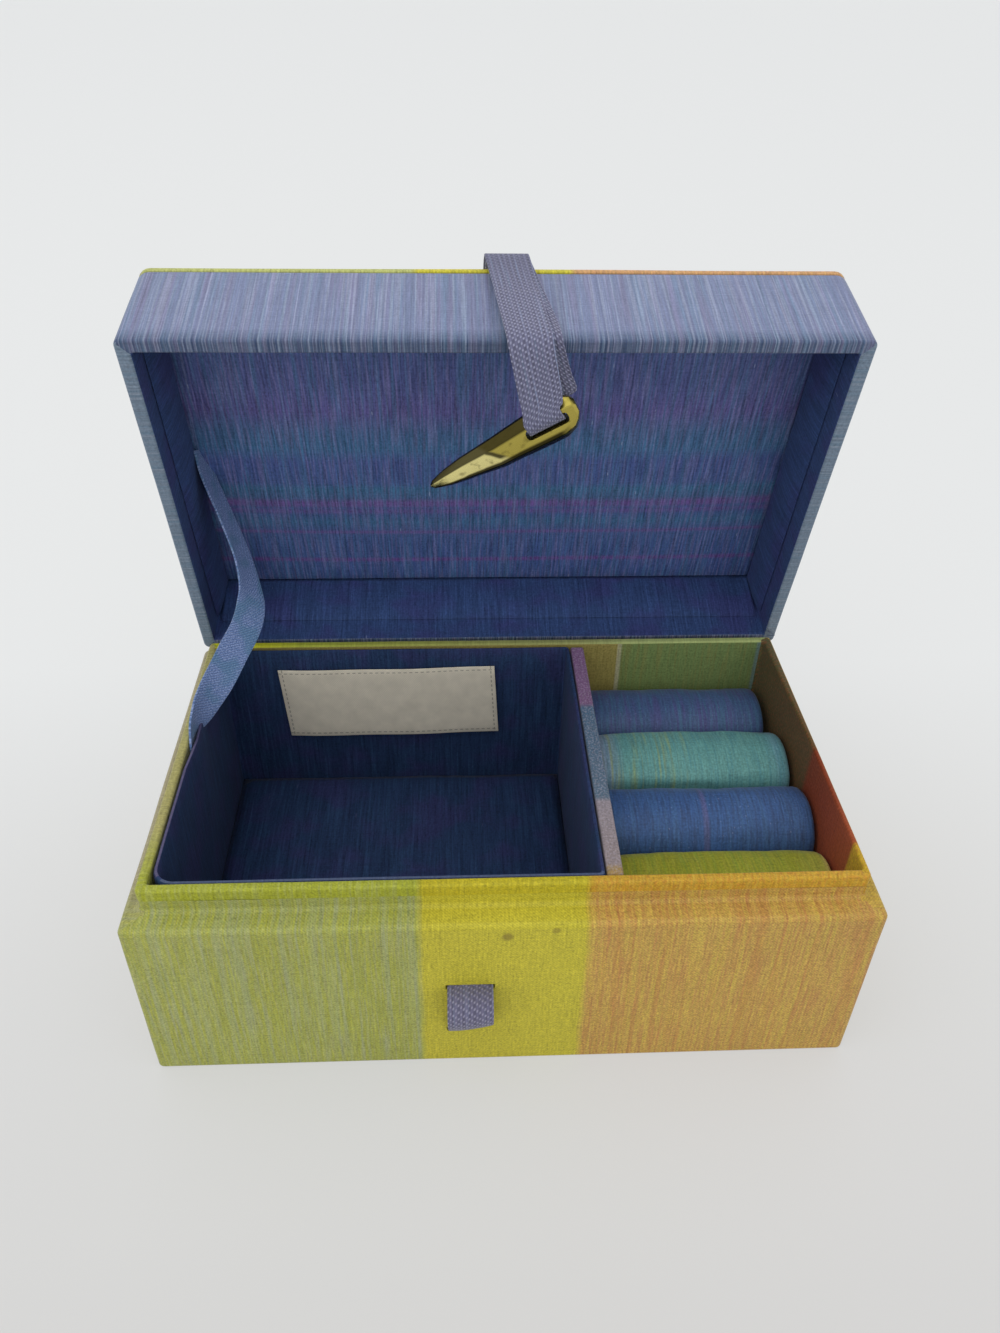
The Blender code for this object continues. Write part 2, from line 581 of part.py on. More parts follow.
def make_lid(mats, axis):
    """Lid frame, its outer panel and the cards that line it, all measured closed from the hinge line."""
    centre = (0, -HALF_DEPTH)
    cavity_half_x = HALF_LENGTH - LID_WALL
    cavity_half_y = HALF_DEPTH - LID_WALL
    roof_top = LID_HEIGHT - LID_PANEL_THICKNESS - SEAM
    levels = [rounded_rectangle(cavity_half_x, cavity_half_y, LID_INNER_CORNER, LID_ROOF_UNDER, centre)]
    for step in range(EDGE_STEPS):
        angle = QUARTER * (1 - step / EDGE_STEPS)
        inset = FOOT_RADIUS * (1 - math.sin(angle))
        z = SEAM + FOOT_RADIUS * (1 - math.cos(angle))
        half_x = cavity_half_x + inset
        levels.append(rounded_rectangle(half_x, cavity_half_y + inset, LID_INNER_CORNER, z, centre))
    corners = (CORNER_RADIUS, LID_TOP_CORNER)
    edge = PANEL_EDGE_RADIUS
    levels += rounded_levels(HALF_LENGTH, HALF_DEPTH, corners, SEAM, roof_top, FOOT_RADIUS, edge, centre)
    finish("lid_shell", loft(levels), mats["lid_silk"], axis)
    corners = (LID_TOP_CORNER, LID_TOP_CORNER)
    levels = rounded_levels(HALF_LENGTH, HALF_DEPTH, corners, roof_top + SEAM, LID_HEIGHT, edge, edge, centre)
    panel = finish("lid_panel", loft(levels), mats["outer_silk"], axis)
    slit_half_x = TAPE_WIDTH / 2 + CLOSURE_SLIT_MARGIN
    low = (-slit_half_x, -STRAP_SLIT_HEIGHT / 2, -LID_PANEL_THICKNESS)
    high = (slit_half_x, STRAP_SLIT_HEIGHT / 2, LID_PANEL_THICKNESS)
    slit = block("strap_slit_cutter", low, high, 0, mats["card"], axis)
    slit.location = (STRAP_TOP_X, RIM_FRONT + STRAP_SLIT_SETBACK, LID_HEIGHT - LID_PANEL_THICKNESS / 2)
    cut(panel, slit)
    card_x = cavity_half_x - SEAM
    card_back = -LID_WALL - SEAM
    card_front = RIM_FRONT + LID_WALL + SEAM
    edge = LID_CARD / 4
    for side, name in ((-1, "lid_card_left"), (1, "lid_card_right")):
        faces = sorted((side * card_x, side * (card_x - LID_CARD)))
        low = (faces[0], card_front + LID_CARD + SEAM, CARD_RIM_SETBACK)
        high = (faces[1], card_back - LID_CARD - SEAM, CARD_TOP)
        block(name, low, high, edge, mats["navy_silk"], axis)
    for name, near, far in (
        ("lid_card_front", card_front, card_front + LID_CARD),
        ("lid_card_back", card_back - LID_CARD, card_back),
    ):
        low = (-card_x + CARD_CORNER, near, CARD_RIM_SETBACK)
        high = (card_x - CARD_CORNER, far, CARD_TOP)
        block(name, low, high, edge, mats["navy_silk"], axis)
    top_half_x = card_x - SEAM
    top_half_y = (card_back - card_front) / 2 - SEAM
    top_centre = (0, (card_back + card_front) / 2)
    high = LID_ROOF_UNDER - SEAM
    low = high - LID_TOP_CARD
    levels = [rounded_rectangle(top_half_x, top_half_y, CARD_CORNER, z, top_centre) for z in (high, low)]
    for step in range(1, LID_CARD_STEPS + 1):
        share = step / (LID_CARD_STEPS + 1)
        inset = share * top_half_y
        z = low - LID_CARD_CROWN * math.sin(QUARTER * share)
        levels.append(rounded_rectangle(top_half_x - inset, top_half_y - inset, CARD_CORNER, z, top_centre))
    finish("lid_top_liner", loft(levels), mats["liner_silk"], axis)


def make_hinge_cloth(mats):
    """Strip of the outer silk that crosses the joint line at the back, bent as the open lid bends it."""
    offset = SEAM + HINGE_CLOTH / 2
    low = Vector((0, HALF_DEPTH + offset, BASE_HEIGHT - HINGE_LEAF))
    far = lid_point(0, offset, HINGE_LEAF + SEAM)
    knee = Vector((0, HALF_DEPTH + offset, BASE_HEIGHT - offset))
    rise = lid_point(0, offset, offset + SEAM)
    handle = rise.lerp(far, HINGE_HANDLE_SHARE)
    path = [low, *bezier(knee, knee + Z_AXIS * offset, rise, handle, HINGE_STEPS), far]
    stations = []
    for index, centre in enumerate(path):
        out = X_AXIS.cross(along(path, index))
        stations.append((centre, X_AXIS, -out))
    width = BOX_LENGTH - 2 * HINGE_END_INSET
    finish("hinge_cloth", tape(stations, width, HINGE_CLOTH), mats["outer_silk"])


def make_stay_ribbon(mats):
    """Slack ribbon that stops the lid: from the lid's left corner to the gap between neck and well liner."""
    top_x = -(HALF_LENGTH - LID_WALL - LID_CARD - 2 * SEAM - RIBBON_THICKNESS / 2)
    low_x = -INNER_HALF_X + LINER_SIDE_GAP / 2
    dip = math.radians(RIBBON_ELBOW_DIP_DEG)
    start = lid_point(top_x, -RIBBON_LID_REACH, CARD_TOP + RIBBON_THICKNESS)
    leaving = lid_point(top_x, -RIBBON_LID_REACH, CARD_TOP - RIBBON_LEAVE)
    elbow_x = top_x + RIBBON_ELBOW_INWARD
    elbow = Vector((elbow_x, HALF_DEPTH - RIBBON_ELBOW_SETBACK, NECK_TOP + RIBBON_ELBOW_RISE))
    heading = Vector((0, -math.cos(dip), -math.sin(dip)))
    end = Vector((low_x, HALF_DEPTH - RIBBON_BASE_REACH, NECK_TOP + RIBBON_WIDTH / 2))
    near_end = end + Vector((RIBBON_END_INWARD, RIBBON_END_BACK, RIBBON_END_RISE))
    upper = bezier(start, leaving, elbow - heading * RIBBON_UPPER_PULL, elbow, RIBBON_STEPS, last=False)
    path = upper + bezier(elbow, elbow + heading * RIBBON_LOWER_PULL, near_end, end, RIBBON_STEPS)
    path.append(Vector((low_x, end.y, NECK_TOP)))
    path.append(Vector((low_x, end.y, NECK_TOP - RIBBON_TUCK)))
    stations = []
    for index, centre in enumerate(path):
        heading = along(path, index)
        across = heading.cross(X_AXIS).normalized()
        stations.append((centre, across, across.cross(heading).normalized()))
    finish("stay_ribbon", tape(stations, RIBBON_WIDTH, RIBBON_THICKNESS), mats["ribbon_silk"])


def make_closure_loop(mats):
    """Band of tape that bows out of two slits in the front wall; the toggle passes through it sideways."""
    top = Vector((CLOSURE_X, -HALF_DEPTH, CLOSURE_TOP))
    bottom = Vector((CLOSURE_X, -HALF_DEPTH, CLOSURE_BOTTOM))
    reach = Vector((0, -CLOSURE_BOW * 4 / 3, 0))
    path = bezier(top, top + reach, bottom + reach, bottom, CLOSURE_STEPS)
    path = [top + Y_AXIS * CLOSURE_TUCK, *path, bottom + Y_AXIS * CLOSURE_TUCK]
    stations = []
    for index, centre in enumerate(path):
        share = (CLOSURE_TOP - centre.z) / (CLOSURE_TOP - CLOSURE_BOTTOM)
        skew = math.radians(CLOSURE_SKEW_DEG) * share
        across = Vector((math.cos(skew), 0, math.sin(skew)))
        heading = along(path, index)
        stations.append((centre, across, across.cross(heading).normalized()))
    finish("closure_loop", tape(stations, TAPE_WIDTH, TAPE_THICKNESS), mats["tape_weave"])


def strap_fold():
    """Where the strap folds over the closed lid's front edge."""
    return Vector((STRAP_TOP_X, RIM_FRONT - STRAP_FOLD_OUT, LID_HEIGHT + STRAP_FOLD_RISE))


def strap_pivot():
    """Where the strap bends below the closed lid's rim."""
    return Vector((STRAP_RIM_X, PIVOT_Y, PIVOT_Z))


def strap_band(name, points, mat, axis):
    """Doubled tape along a smooth curve, its width always across the box."""
    path = smooth_path(points, STRAP_STEPS)
    stations = []
    for index, centre in enumerate(path):
        heading = along(path, index)
        stations.append((centre, X_AXIS, X_AXIS.cross(heading).normalized()))
    finish(name, tape(stations, TAPE_WIDTH, TAPE_PAIR), mat, axis)


def make_strap_root(mats, axis):
    """Doubled tape from its slit in the lid panel to the fold at the lid's front edge."""
    fold = strap_fold()
    reach = TAPE_PAIR / 2 + SEAM
    slit_y = RIM_FRONT + STRAP_SLIT_SETBACK
    points = [
        Vector((fold.x, slit_y, LID_HEIGHT - LID_PANEL_THICKNESS + SEAM)),
        Vector((fold.x, slit_y - STRAP_REST_HEIGHT, LID_HEIGHT + STRAP_REST_HEIGHT)),
        Vector((fold.x, slit_y - STRAP_SLIT_SETBACK / 2, LID_HEIGHT + STRAP_REST_HEIGHT)),
        fold + Y_AXIS * reach,
    ]
    strap_band("strap_root", points, mats["tape_weave"], axis)


def make_strap_flap(mats, axis):
    """Doubled tape down the lid's front wall, from the fold to the bend below the rim, measured from the fold."""
    run = strap_pivot() - strap_fold()
    reach = TAPE_PAIR / 2 + SEAM
    belly = run / 2 - Y_AXIS * STRAP_BELLY
    points = [belly.normalized() * reach, belly, run - (run - belly).normalized() * reach]
    strap_band("strap_flap", points, mats["tape_weave"], axis)


def make_knuckle(name, mats, axis):
    """Round of doubled tape where the strap bends."""
    bm = bmesh.new()
    radius = TAPE_PAIR / 2
    turn = Matrix.Rotation(QUARTER, 4, "Y")
    bmesh.ops.create_cone(
        bm,
        cap_ends=True,
        segments=KNUCKLE_SEGMENTS,
        radius1=radius,
        radius2=radius,
        depth=TAPE_WIDTH,
        matrix=turn,
    )
    finish(name, bm, mats["tape_weave"], axis)


def make_strap_tail(mats, axis):
    """Tape loop that hangs from the bend: two layers part, pass either side of the bar and join under it."""
    bar = Vector((BAR_OFFSET_X, 0, -BAR_OFFSET_DOWN))
    under = Vector((math.sin(BAR_TILT), 0, -math.cos(BAR_TILT)))
    top = TAPE_PAIR / 2 + SEAM
    start_share = top / bar.length
    outer_radius = LOOP_INNER_RADIUS + TAPE_THICKNESS

    def side_line(first_share, first_half, radius):
        """Points (share of the way to the bar, half gap, drop under the bar) down the front and up the back."""
        down = []
        for step in range(LOOP_RUN_STEPS):
            t = step / LOOP_RUN_STEPS
            ease = 1 - math.cos(QUARTER * t)
            down.append((first_share + (1 - first_share) * t, first_half + (radius - first_half) * ease, 0.0))
        turn = []
        for step in range(LOOP_TURN_STEPS + 1):
            angle = math.pi * step / LOOP_TURN_STEPS
            turn.append((1.0, radius * math.cos(angle), radius * math.sin(angle)))
        up = [(share, -half, drop) for share, half, drop in down[::-1]]
        return down + turn + up

    def points(line, edge):
        """The line's points on one edge of the tape, whose slant grows to the tilt of the bar."""
        made = []
        for share, half, drop in line:
            slant = BAR_TILT * share * share
            across = Vector((math.cos(slant), 0, math.sin(slant)))
            centre = bar * share + under * drop
            made.append(centre + across * (edge * TAPE_WIDTH / 2) - Y_AXIS * half)
        return made

    outer = side_line(start_share, TAPE_PAIR / 2, outer_radius)
    inner = side_line(LOOP_SPLIT_SHARE + start_share, LOOP_SPLIT_WIDTH / 2, LOOP_INNER_RADIUS)
    loops = [points(outer, -1), points(outer, 1), points(inner, 1), points(inner, -1)]
    finish("strap_tail", loft(loops, closed=True), mats["tape_weave"], axis)


def toggle_outline():
    """The tusk seen from the front, from its tip along the top, round the thick end and back. Origin at the bar."""
    tip_x = -TOGGLE_TIP
    middle = (TOGGLE_TOP - TOGGLE_BOTTOM) / 2
    tip_high = Vector((tip_x, 0, -TOGGLE_TIP_DROP + TOGGLE_TIP_HEIGHT / 2))
    tip_low = Vector((tip_x, 0, -TOGGLE_TIP_DROP - TOGGLE_TIP_HEIGHT / 2))
    shoulder = Vector((TOGGLE_END * SHOULDER_SHARE, 0, TOGGLE_TOP))
    nose = Vector((TOGGLE_END, 0, middle))
    heel = Vector((TOGGLE_END * HEEL_SHARE, 0, -TOGGLE_BOTTOM))
    span = shoulder.x - tip_x
    rise = TOGGLE_TOP - tip_high.z
    top = bezier(
        tip_high,
        tip_high + Vector((span * TIP_RUN_SHARE, 0, rise * TIP_RISE_SHARE)),
        shoulder - Vector((span * SHOULDER_RUN_SHARE, 0, 0)),
        shoulder,
        TOGGLE_STEPS,
        last=False,
    )
    corner = Vector((TOGGLE_END, 0, TOGGLE_TOP))
    end_top = bezier(
        shoulder,
        shoulder.lerp(corner, SHOULDER_HANDLE_SHARE),
        nose.lerp(corner, NOSE_HANDLE_SHARE),
        nose,
        TOGGLE_STEPS // 2,
        last=False,
    )
    low_corner = Vector((TOGGLE_END * HEEL_CORNER_SHARE, 0, -TOGGLE_BOTTOM))
    end_low = bezier(
        nose,
        nose.lerp(low_corner, HEEL_HANDLE_SHARE),
        heel.lerp(low_corner, HEEL_HANDLE_SHARE),
        heel,
        TOGGLE_STEPS // 2,
        last=False,
    )
    bottom = bezier(
        heel,
        heel - Vector((span * SHOULDER_RUN_SHARE, 0, 0)),
        tip_low + Vector((span * TIP_RUN_SHARE, 0, -(TOGGLE_BOTTOM + tip_low.z) * TIP_FALL_SHARE)),
        tip_low,
        TOGGLE_STEPS,
    )
    return top + end_top + end_low + bottom


def make_toggle(mats, axis):
    """Faceted tusk: flat front and back faces inside wide bevels, and a slot under the bar for the tape."""
    outline = toggle_outline()
    core_left = -TOGGLE_TIP + TOGGLE_TIP_DROP
    core_right = TOGGLE_END - (TOGGLE_TOP + TOGGLE_BOTTOM) / 2
    middle = (TOGGLE_TOP - TOGGLE_BOTTOM) / 2
    loops = []
    for side, facet in ((-1, True), (-1, False), (1, False), (1, True)):
        loop = []
        for point in outline:
            core_x = min(max(point.x, core_left), core_right)
            along_share = (core_x + TOGGLE_TIP) / (core_right + TOGGLE_TIP)
            core = Vector((core_x, 0, middle * along_share - TOGGLE_TIP_DROP * (1 - along_share)))
            swell = (1 - TOGGLE_TIP_THICKNESS_SHARE) * math.sin(QUARTER * along_share)
            thick = TOGGLE_THICKNESS * (TOGGLE_TIP_THICKNESS_SHARE + swell)
            share = TOGGLE_FACET_SHARE if facet else 1.0
            depth = thick / 2 * (1.0 if facet else TOGGLE_EDGE_SHARE)
            loop.append(core.lerp(point, share) + Y_AXIS * (side * depth))
        loops.append(loop)
    toggle = finish("toggle", loft(loops), mats["brass"], axis, sharp_deg=28)
    half_x = TAPE_WIDTH / 2 + SLOT_MARGIN
    low = (-half_x, -TOGGLE_THICKNESS, -TOGGLE_TOP - SLOT_HEIGHT)
    high = (half_x, TOGGLE_THICKNESS, -TOGGLE_TOP)
    cutter = block("slot_cutter", low, high, SLOT_CORNER, mats["card"], axis)
    cut(toggle, cutter)


def main():
    clear_scene()
    mats = {
        "outer_silk": material("outer_silk", (0.50, 0.42, 0.05), 0.55),
        "neck_silk": material("neck_silk", (0.46, 0.40, 0.06), 0.55),
        "lid_silk": material("lid_silk", (0.24, 0.28, 0.46), 0.5),
        "liner_silk": material("liner_silk", (0.05, 0.07, 0.20), 0.5),
        "navy_silk": material("navy_silk", (0.010, 0.016, 0.065), 0.55),
        "divider_silk": material("divider_silk", (0.18, 0.18, 0.26), 0.55),
        "blue_violet_silk": material("blue_violet_silk", (0.06, 0.07, 0.22), 0.5),
        "teal_silk": material("teal_silk", (0.10, 0.26, 0.22), 0.5),
        "blue_silk": material("blue_silk", (0.06, 0.10, 0.26), 0.5),
        "green_silk": material("green_silk", (0.26, 0.28, 0.03), 0.5),
        "ribbon_silk": material("ribbon_silk", (0.20, 0.28, 0.45), 0.5),
        "tape_weave": material("tape_weave", (0.24, 0.23, 0.33), 0.75),
        "label_cotton": material("label_cotton", (0.62, 0.57, 0.46), 0.85),
        "card": material("card", (0.30, 0.27, 0.22), 0.9),
        "foam": material("foam", (0.75, 0.72, 0.62), 0.95),
        "brass": material("brass", (0.72, 0.56, 0.24), 0.22, 1.0),
    }
    lid_axis = empty("lid_axis", (0, HALF_DEPTH, BASE_HEIGHT), -OPEN)
    flap_axis = empty("flap_axis", strap_fold(), parent=lid_axis)
    strap_axis = empty("strap_axis", strap_pivot() - strap_fold(), OPEN, parent=flap_axis)
    bar_place = (BAR_OFFSET_X, 0, -BAR_OFFSET_DOWN)
    toggle_axis = empty("toggle_axis", bar_place, -BAR_TILT, "Y", strap_axis)
    make_base(mats)
    make_neck(mats)
    make_divider(mats)
    make_well(mats)
    make_rings(mats)
    make_lid(mats, lid_axis)
    make_hinge_cloth(mats)
    make_stay_ribbon(mats)
    make_closure_loop(mats)
    make_strap_root(mats, lid_axis)
    make_knuckle("strap_fold", mats, flap_axis)
    make_strap_flap(mats, flap_axis)
    make_knuckle("strap_bend", mats, strap_axis)
    make_strap_tail(mats, strap_axis)
    make_toggle(mats, toggle_axis)


main()
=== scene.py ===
"""Looks for the travel jewelry box: silk-covered boards, padded ring rolls, woven tape and a brass toggle.
Every length here is in millimetres until a piece is finished, when its mesh is scaled to metres."""

import math

import bmesh
import bpy
from mathutils import Matrix, Vector, noise


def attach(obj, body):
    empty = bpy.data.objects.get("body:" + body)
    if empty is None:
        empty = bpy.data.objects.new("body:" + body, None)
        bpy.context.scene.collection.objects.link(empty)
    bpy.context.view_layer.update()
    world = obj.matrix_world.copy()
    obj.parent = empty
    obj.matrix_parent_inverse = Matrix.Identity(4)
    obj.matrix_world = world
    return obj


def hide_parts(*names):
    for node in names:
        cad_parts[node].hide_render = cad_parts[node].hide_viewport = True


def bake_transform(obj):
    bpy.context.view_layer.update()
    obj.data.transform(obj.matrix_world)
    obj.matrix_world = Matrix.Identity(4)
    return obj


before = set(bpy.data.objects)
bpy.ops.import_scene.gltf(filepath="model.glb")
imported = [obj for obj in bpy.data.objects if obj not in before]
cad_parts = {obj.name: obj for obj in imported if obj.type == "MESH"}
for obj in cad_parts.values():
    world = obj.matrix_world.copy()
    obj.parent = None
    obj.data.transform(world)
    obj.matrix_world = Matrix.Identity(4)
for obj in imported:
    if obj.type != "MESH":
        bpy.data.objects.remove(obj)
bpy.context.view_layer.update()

# Blender's noise vectors depend on the time of day unless a script sets their seed.
noise.seed_set(1)

MM = 0.001
QUARTER = math.pi / 2
CORNER_POINTS = 6
SIDE_POINTS = 14
SHARP = 50

# The box's own sizes, as the solids have them: half its length and depth, the height of the joint between the
# tray and the lid, the neck's outside, inside and top, and the top of the tray's floor.
HALF_X = 77.5
HALF_Y = 47.5
JOINT = 46.3
CORNER = 1.5
NECK_X = 74.1
NECK_Y = 42.0
NECK_CORNER = 1.2
NECK_INSIDE_X = 72.1
NECK_INSIDE_Y = 40.0
NECK_TOP = 52.3
FLOOR = 3.9

# The photographed pose: how far the lid is open, and how the toggle's bar hangs in the tape.
OPEN = math.radians(76.0)
HINGE = Vector((0.0, HALF_Y, JOINT))
LID_PLACE = Matrix.Translation(HINGE) @ Matrix.Rotation(-OPEN, 4, "X")
BAR = Vector((8.2, 21.414, 124.565))
BAR_TILT = math.radians(29.0)
BAR_PLACE = Matrix.Translation(BAR) @ Matrix.Rotation(-BAR_TILT, 4, "Y")


# Meshes


def corner_place(quarter, share, half_x, half_y, radius):
    """A place on one of a rectangle's round corners, counted from the back right."""
    radius = max(0.01, min(radius, half_x, half_y))
    angle = QUARTER * (quarter + share)
    x = (1, -1, -1, 1)[quarter] * (half_x - radius) + radius * math.cos(angle)
    y = (1, 1, -1, -1)[quarter] * (half_y - radius) + radius * math.sin(angle)
    return Vector((x, y))


def ring_place(index, half_x, half_y, radius, front_left=None):
    """Where one of a ring's points goes: round each corner, then evenly along the side after it."""
    quarter, part = divmod(index, CORNER_POINTS + SIDE_POINTS)
    radii = [radius, radius, radius if front_left is None else front_left, radius]
    after = (quarter + 1) % 4
    if part < CORNER_POINTS:
        return corner_place(quarter, part / (CORNER_POINTS - 1), half_x, half_y, radii[quarter])
    begin = corner_place(quarter, 1.0, half_x, half_y, radii[quarter])
    end = corner_place(after, 0.0, half_x, half_y, radii[after])
    return begin.lerp(end, (part - CORNER_POINTS + 1) / (SIDE_POINTS + 1))


def tube(count, segments, closed=False):
    """A straight stack of circles, bridged. Returns the mesh and the points of each circle."""
    bm = bmesh.new()
    rings = []
    edges = []
    for level in range(count):
        lift = Matrix.Translation((0, 0, level))
        verts = bmesh.ops.create_circle(bm, segments=segments, radius=1, matrix=lift)["verts"]
        rings.append(verts)
        edges.append(list({edge for vert in verts for edge in vert.link_edges}))
    if closed:
        edges.append(edges[0])
    for first, second in zip(edges, edges[1:]):
        bmesh.ops.bridge_loops(bm, edges=first + second)
    if not closed:
        bmesh.ops.contextual_create(bm, geom=edges[0])
        bmesh.ops.contextual_create(bm, geom=edges[-1])
    return bm, rings


def ring_stack(levels, centre=(0.0, 0.0), closed=False):
    """Walls of a box: circles drawn out to rounded rectangles. A level is half x, half y, corner radius and
    height, and then the front left corner's own radius where it has one."""
    bm, rings = tube(len(levels), 4 * (CORNER_POINTS + SIDE_POINTS), closed)
    for verts, (half_x, half_y, radius, z, *front_left) in zip(rings, levels):
        for index, vert in enumerate(verts):
            x, y = ring_place(index, half_x, half_y, radius, *front_left)
            vert.co = (centre[0] + x, centre[1] + y, z)
    bmesh.ops.recalc_face_normals(bm, faces=bm.faces)
    return bm


def rolled_edge(half_x, half_y, corner, z, radius, start, end, steps=5, inner=False, under=False):
    """Levels round a covered edge, from one angle to another. The cloth stands upright at 0 degrees and lies
    flat at 90."""
    levels = []
    for step in range(steps + 1):
        angle = math.radians(start + (end - start) * step / steps)
        inset = radius * (1 - math.cos(angle)) * (-1 if inner else 1)
        fall = radius * (1 - math.sin(angle)) * (-1 if under else 1)
        levels.append((half_x - inset, half_y - inset, corner - inset, z - fall))
    return levels


def round_edges(bm, edges, offset, segments=3):
    """Rounds some of a mesh's edges."""
    bmesh.ops.bevel(
        bm,
        geom=edges,
        offset=offset,
        offset_type="OFFSET",
        segments=segments,
        profile=0.5,
        affect="EDGES",
        material=-1,
    )


def divide_long_edges(bm, axis, least, cuts):
    """Divides the edges that run further than so much along an axis."""
    long = [edge for edge in bm.edges if abs((edge.verts[0].co - edge.verts[1].co)[axis]) > least]
    bmesh.ops.subdivide_edges(bm, edges=long, cuts=cuts, use_grid_fill=True)


def board(low, high, edge, cuts=0):
    """A covered card or board: a block with its edges rounded."""
    bm = bmesh.new()
    size = Vector(high) - Vector(low)
    middle = (Vector(high) + Vector(low)) / 2
    place = Matrix.Translation(middle) @ Matrix.Diagonal((*size, 1))
    bmesh.ops.create_cube(bm, size=1, matrix=place)
    round_edges(bm, bm.edges[:], edge)
    for axis in range(3):
        if cuts and size[axis] > 8:
            divide_long_edges(bm, axis, 0.4 * size[axis], cuts)
    return bm


def take_in(bm, other):
    """Adds another mesh to this one."""
    copy = bpy.data.meshes.new("copy")
    other.to_mesh(copy)
    other.free()
    bm.from_mesh(copy)
    bpy.data.meshes.remove(copy)


def lay_cloth(bm, walls=None):
    """The cloth's own map, in millimetres. On walls (half x, half y, centre y, turn) it runs up each side and
    on over the rim, or back under it where turn is -1."""
    layer = bm.loops.layers.uv.new("cloth")
    bm.normal_update()
    for face in bm.faces:
        normal = face.normal
        middle = face.calc_center_median()
        side = abs(normal.x) > max(abs(normal.y), abs(normal.z))
        hand = math.copysign(1, middle.x)
        if walls:
            half_x, half_y, centre_y, turn = walls
            near_side = half_x - abs(middle.x) < half_y - abs(middle.y - centre_y)
            side = side or (abs(normal.z) > abs(normal.y) and near_side)
        for loop in face.loops:
            point = loop.vert.co
            if walls and side:
                out = half_x + half_y + point.y - centre_y
                place = (hand * out, point.z + turn * (half_x - abs(point.x)))
            elif walls:
                place = (point.x, point.z + turn * (half_y - abs(point.y - centre_y)))
            elif side:
                place = (point.y, point.z + hand * point.x)
            else:
                place = (point.x, point.y + point.z)
            loop[layer].uv = place


def unsettle(bm, amount, shift, above=-200.0):
    """Moves every point above a height a little, because cloth glued over board is never quite flat. The
    unevenness comes and goes over 20 mm."""
    for vert in bm.verts:
        if vert.co.z >= above:
            vert.co += noise.noise_vector(vert.co / 20.0 + Vector((shift, 0, 0))) * amount


def sample(path, share):
    """A point on a path at a share of its list of points."""
    reach = min(max(share, 0.0), 1.0) * (len(path) - 1)
    first = min(int(reach), len(path) - 2)
    return path[first].lerp(path[first + 1], reach - first)


def smooth_path(points, steps):
    """A rounded curve through the points, with the same number of steps in each span."""
    padded = [2 * points[0] - points[1], *points, 2 * points[-1] - points[-2]]
    path = []
    for a, b, c, d in zip(padded, padded[1:], padded[2:], padded[3:]):
        for step in range(steps):
            t = step / steps
            bend = (2 * a - 5 * b + 4 * c - d) * (t * t / 2)
            path.append(b + (c - a) * (t / 2) + bend + (3 * b - a - 3 * c + d) * (t**3 / 2))
    path.append(points[-1])
    return path


def woven_band(left, right, rows, start=0.0, cup=0.0):
    """A band of cloth between its two edges, a grid bent to follow them. Its map is millimetres across and
    along."""
    bm = bmesh.new()
    bmesh.ops.create_grid(bm, x_segments=rows, y_segments=len(left) - 1, size=0.5)
    layer = bm.loops.layers.uv.new("cloth")
    lengths = [start]
    for index in range(1, len(left)):
        middle = (left[index] + right[index]) / 2
        before = (left[index - 1] + right[index - 1]) / 2
        lengths.append(lengths[-1] + (middle - before).length)
    width = (right[0] - left[0]).length
    for face in bm.faces:
        for loop in face.loops:
            row = round((loop.vert.co.y + 0.5) * (len(left) - 1))
            loop[layer].uv = (loop.vert.co.x * width, lengths[row])
    for vert in bm.verts:
        share = vert.co.x + 0.5
        along = vert.co.y + 0.5
        a = sample(left, along)
        b = sample(right, along)
        ahead = sample(left, along + 0.02) - sample(left, along - 0.02)
        out = (b - a).cross(ahead).normalized()
        vert.co = a.lerp(b, share) + out * (cup * (1 - (2 * share - 1) ** 2))
    return bm


def link_mesh(name, bm):
    """A new object of this mesh, in the scene."""
    mesh = bpy.data.meshes.new(name)
    bm.to_mesh(mesh)
    bm.free()
    made = bpy.data.objects.new(name, mesh)
    bpy.context.scene.collection.objects.link(made)
    return made


def shade(mesh, sharp=SHARP):
    """Smooth shading, but for edges sharper than this many degrees."""
    mesh.shade_smooth()
    mesh.set_sharp_from_angle(angle=math.radians(sharp))


def finish_piece(name, bm, names, place=None, sharp=SHARP):
    """Scales the mesh to metres, puts it where it goes, and gives it its finishes, by one name or several."""
    if not bm.loops.layers.uv:
        lay_cloth(bm)
    bmesh.ops.transform(bm, matrix=Matrix.Scale(MM, 4) @ (place or Matrix()), verts=bm.verts)
    piece = link_mesh(name, bm)
    shade(piece.data, sharp)
    for finish in [names] if isinstance(names, str) else names:
        piece.data.materials.append(finishes[finish])
    return piece


def settle(piece):
    """Writes a piece's modifiers into its mesh."""
    graph = bpy.context.evaluated_depsgraph_get()
    mesh = bpy.data.meshes.new_from_object(piece.evaluated_get(graph))
    piece.modifiers.clear()
    piece.data = mesh
    shade(mesh)


def cut(piece, cutter):
    """Takes the cutter's shape out of a piece."""
    opening = piece.modifiers.new("opening", "BOOLEAN")
    opening.operation = "DIFFERENCE"
    opening.solver = "EXACT"
    opening.object = cutter


def soften(piece, width, angle):
    """Rounds the edges of a piece that turn through more than this many degrees."""
    rounded = piece.modifiers.new("soft_edge", "BEVEL")
    rounded.width = width * MM
    rounded.segments = 2
    rounded.limit_method = "ANGLE"
    rounded.angle_limit = math.radians(angle)


def thicken(piece, thickness, edge):
    """Gives a cloth its thickness and rounds its cut edges."""
    solid = piece.modifiers.new("thickness", "SOLIDIFY")
    solid.thickness = thickness * MM
    solid.offset = 0.0
    soften(piece, edge, 60)
    settle(piece)


def even_shading(piece):
    """Keeps broad flat faces flat between their rounded edges."""
    weighted = piece.modifiers.new("flat_faces", "WEIGHTED_NORMAL")
    weighted.keep_sharp = True
    weighted.weight = 90


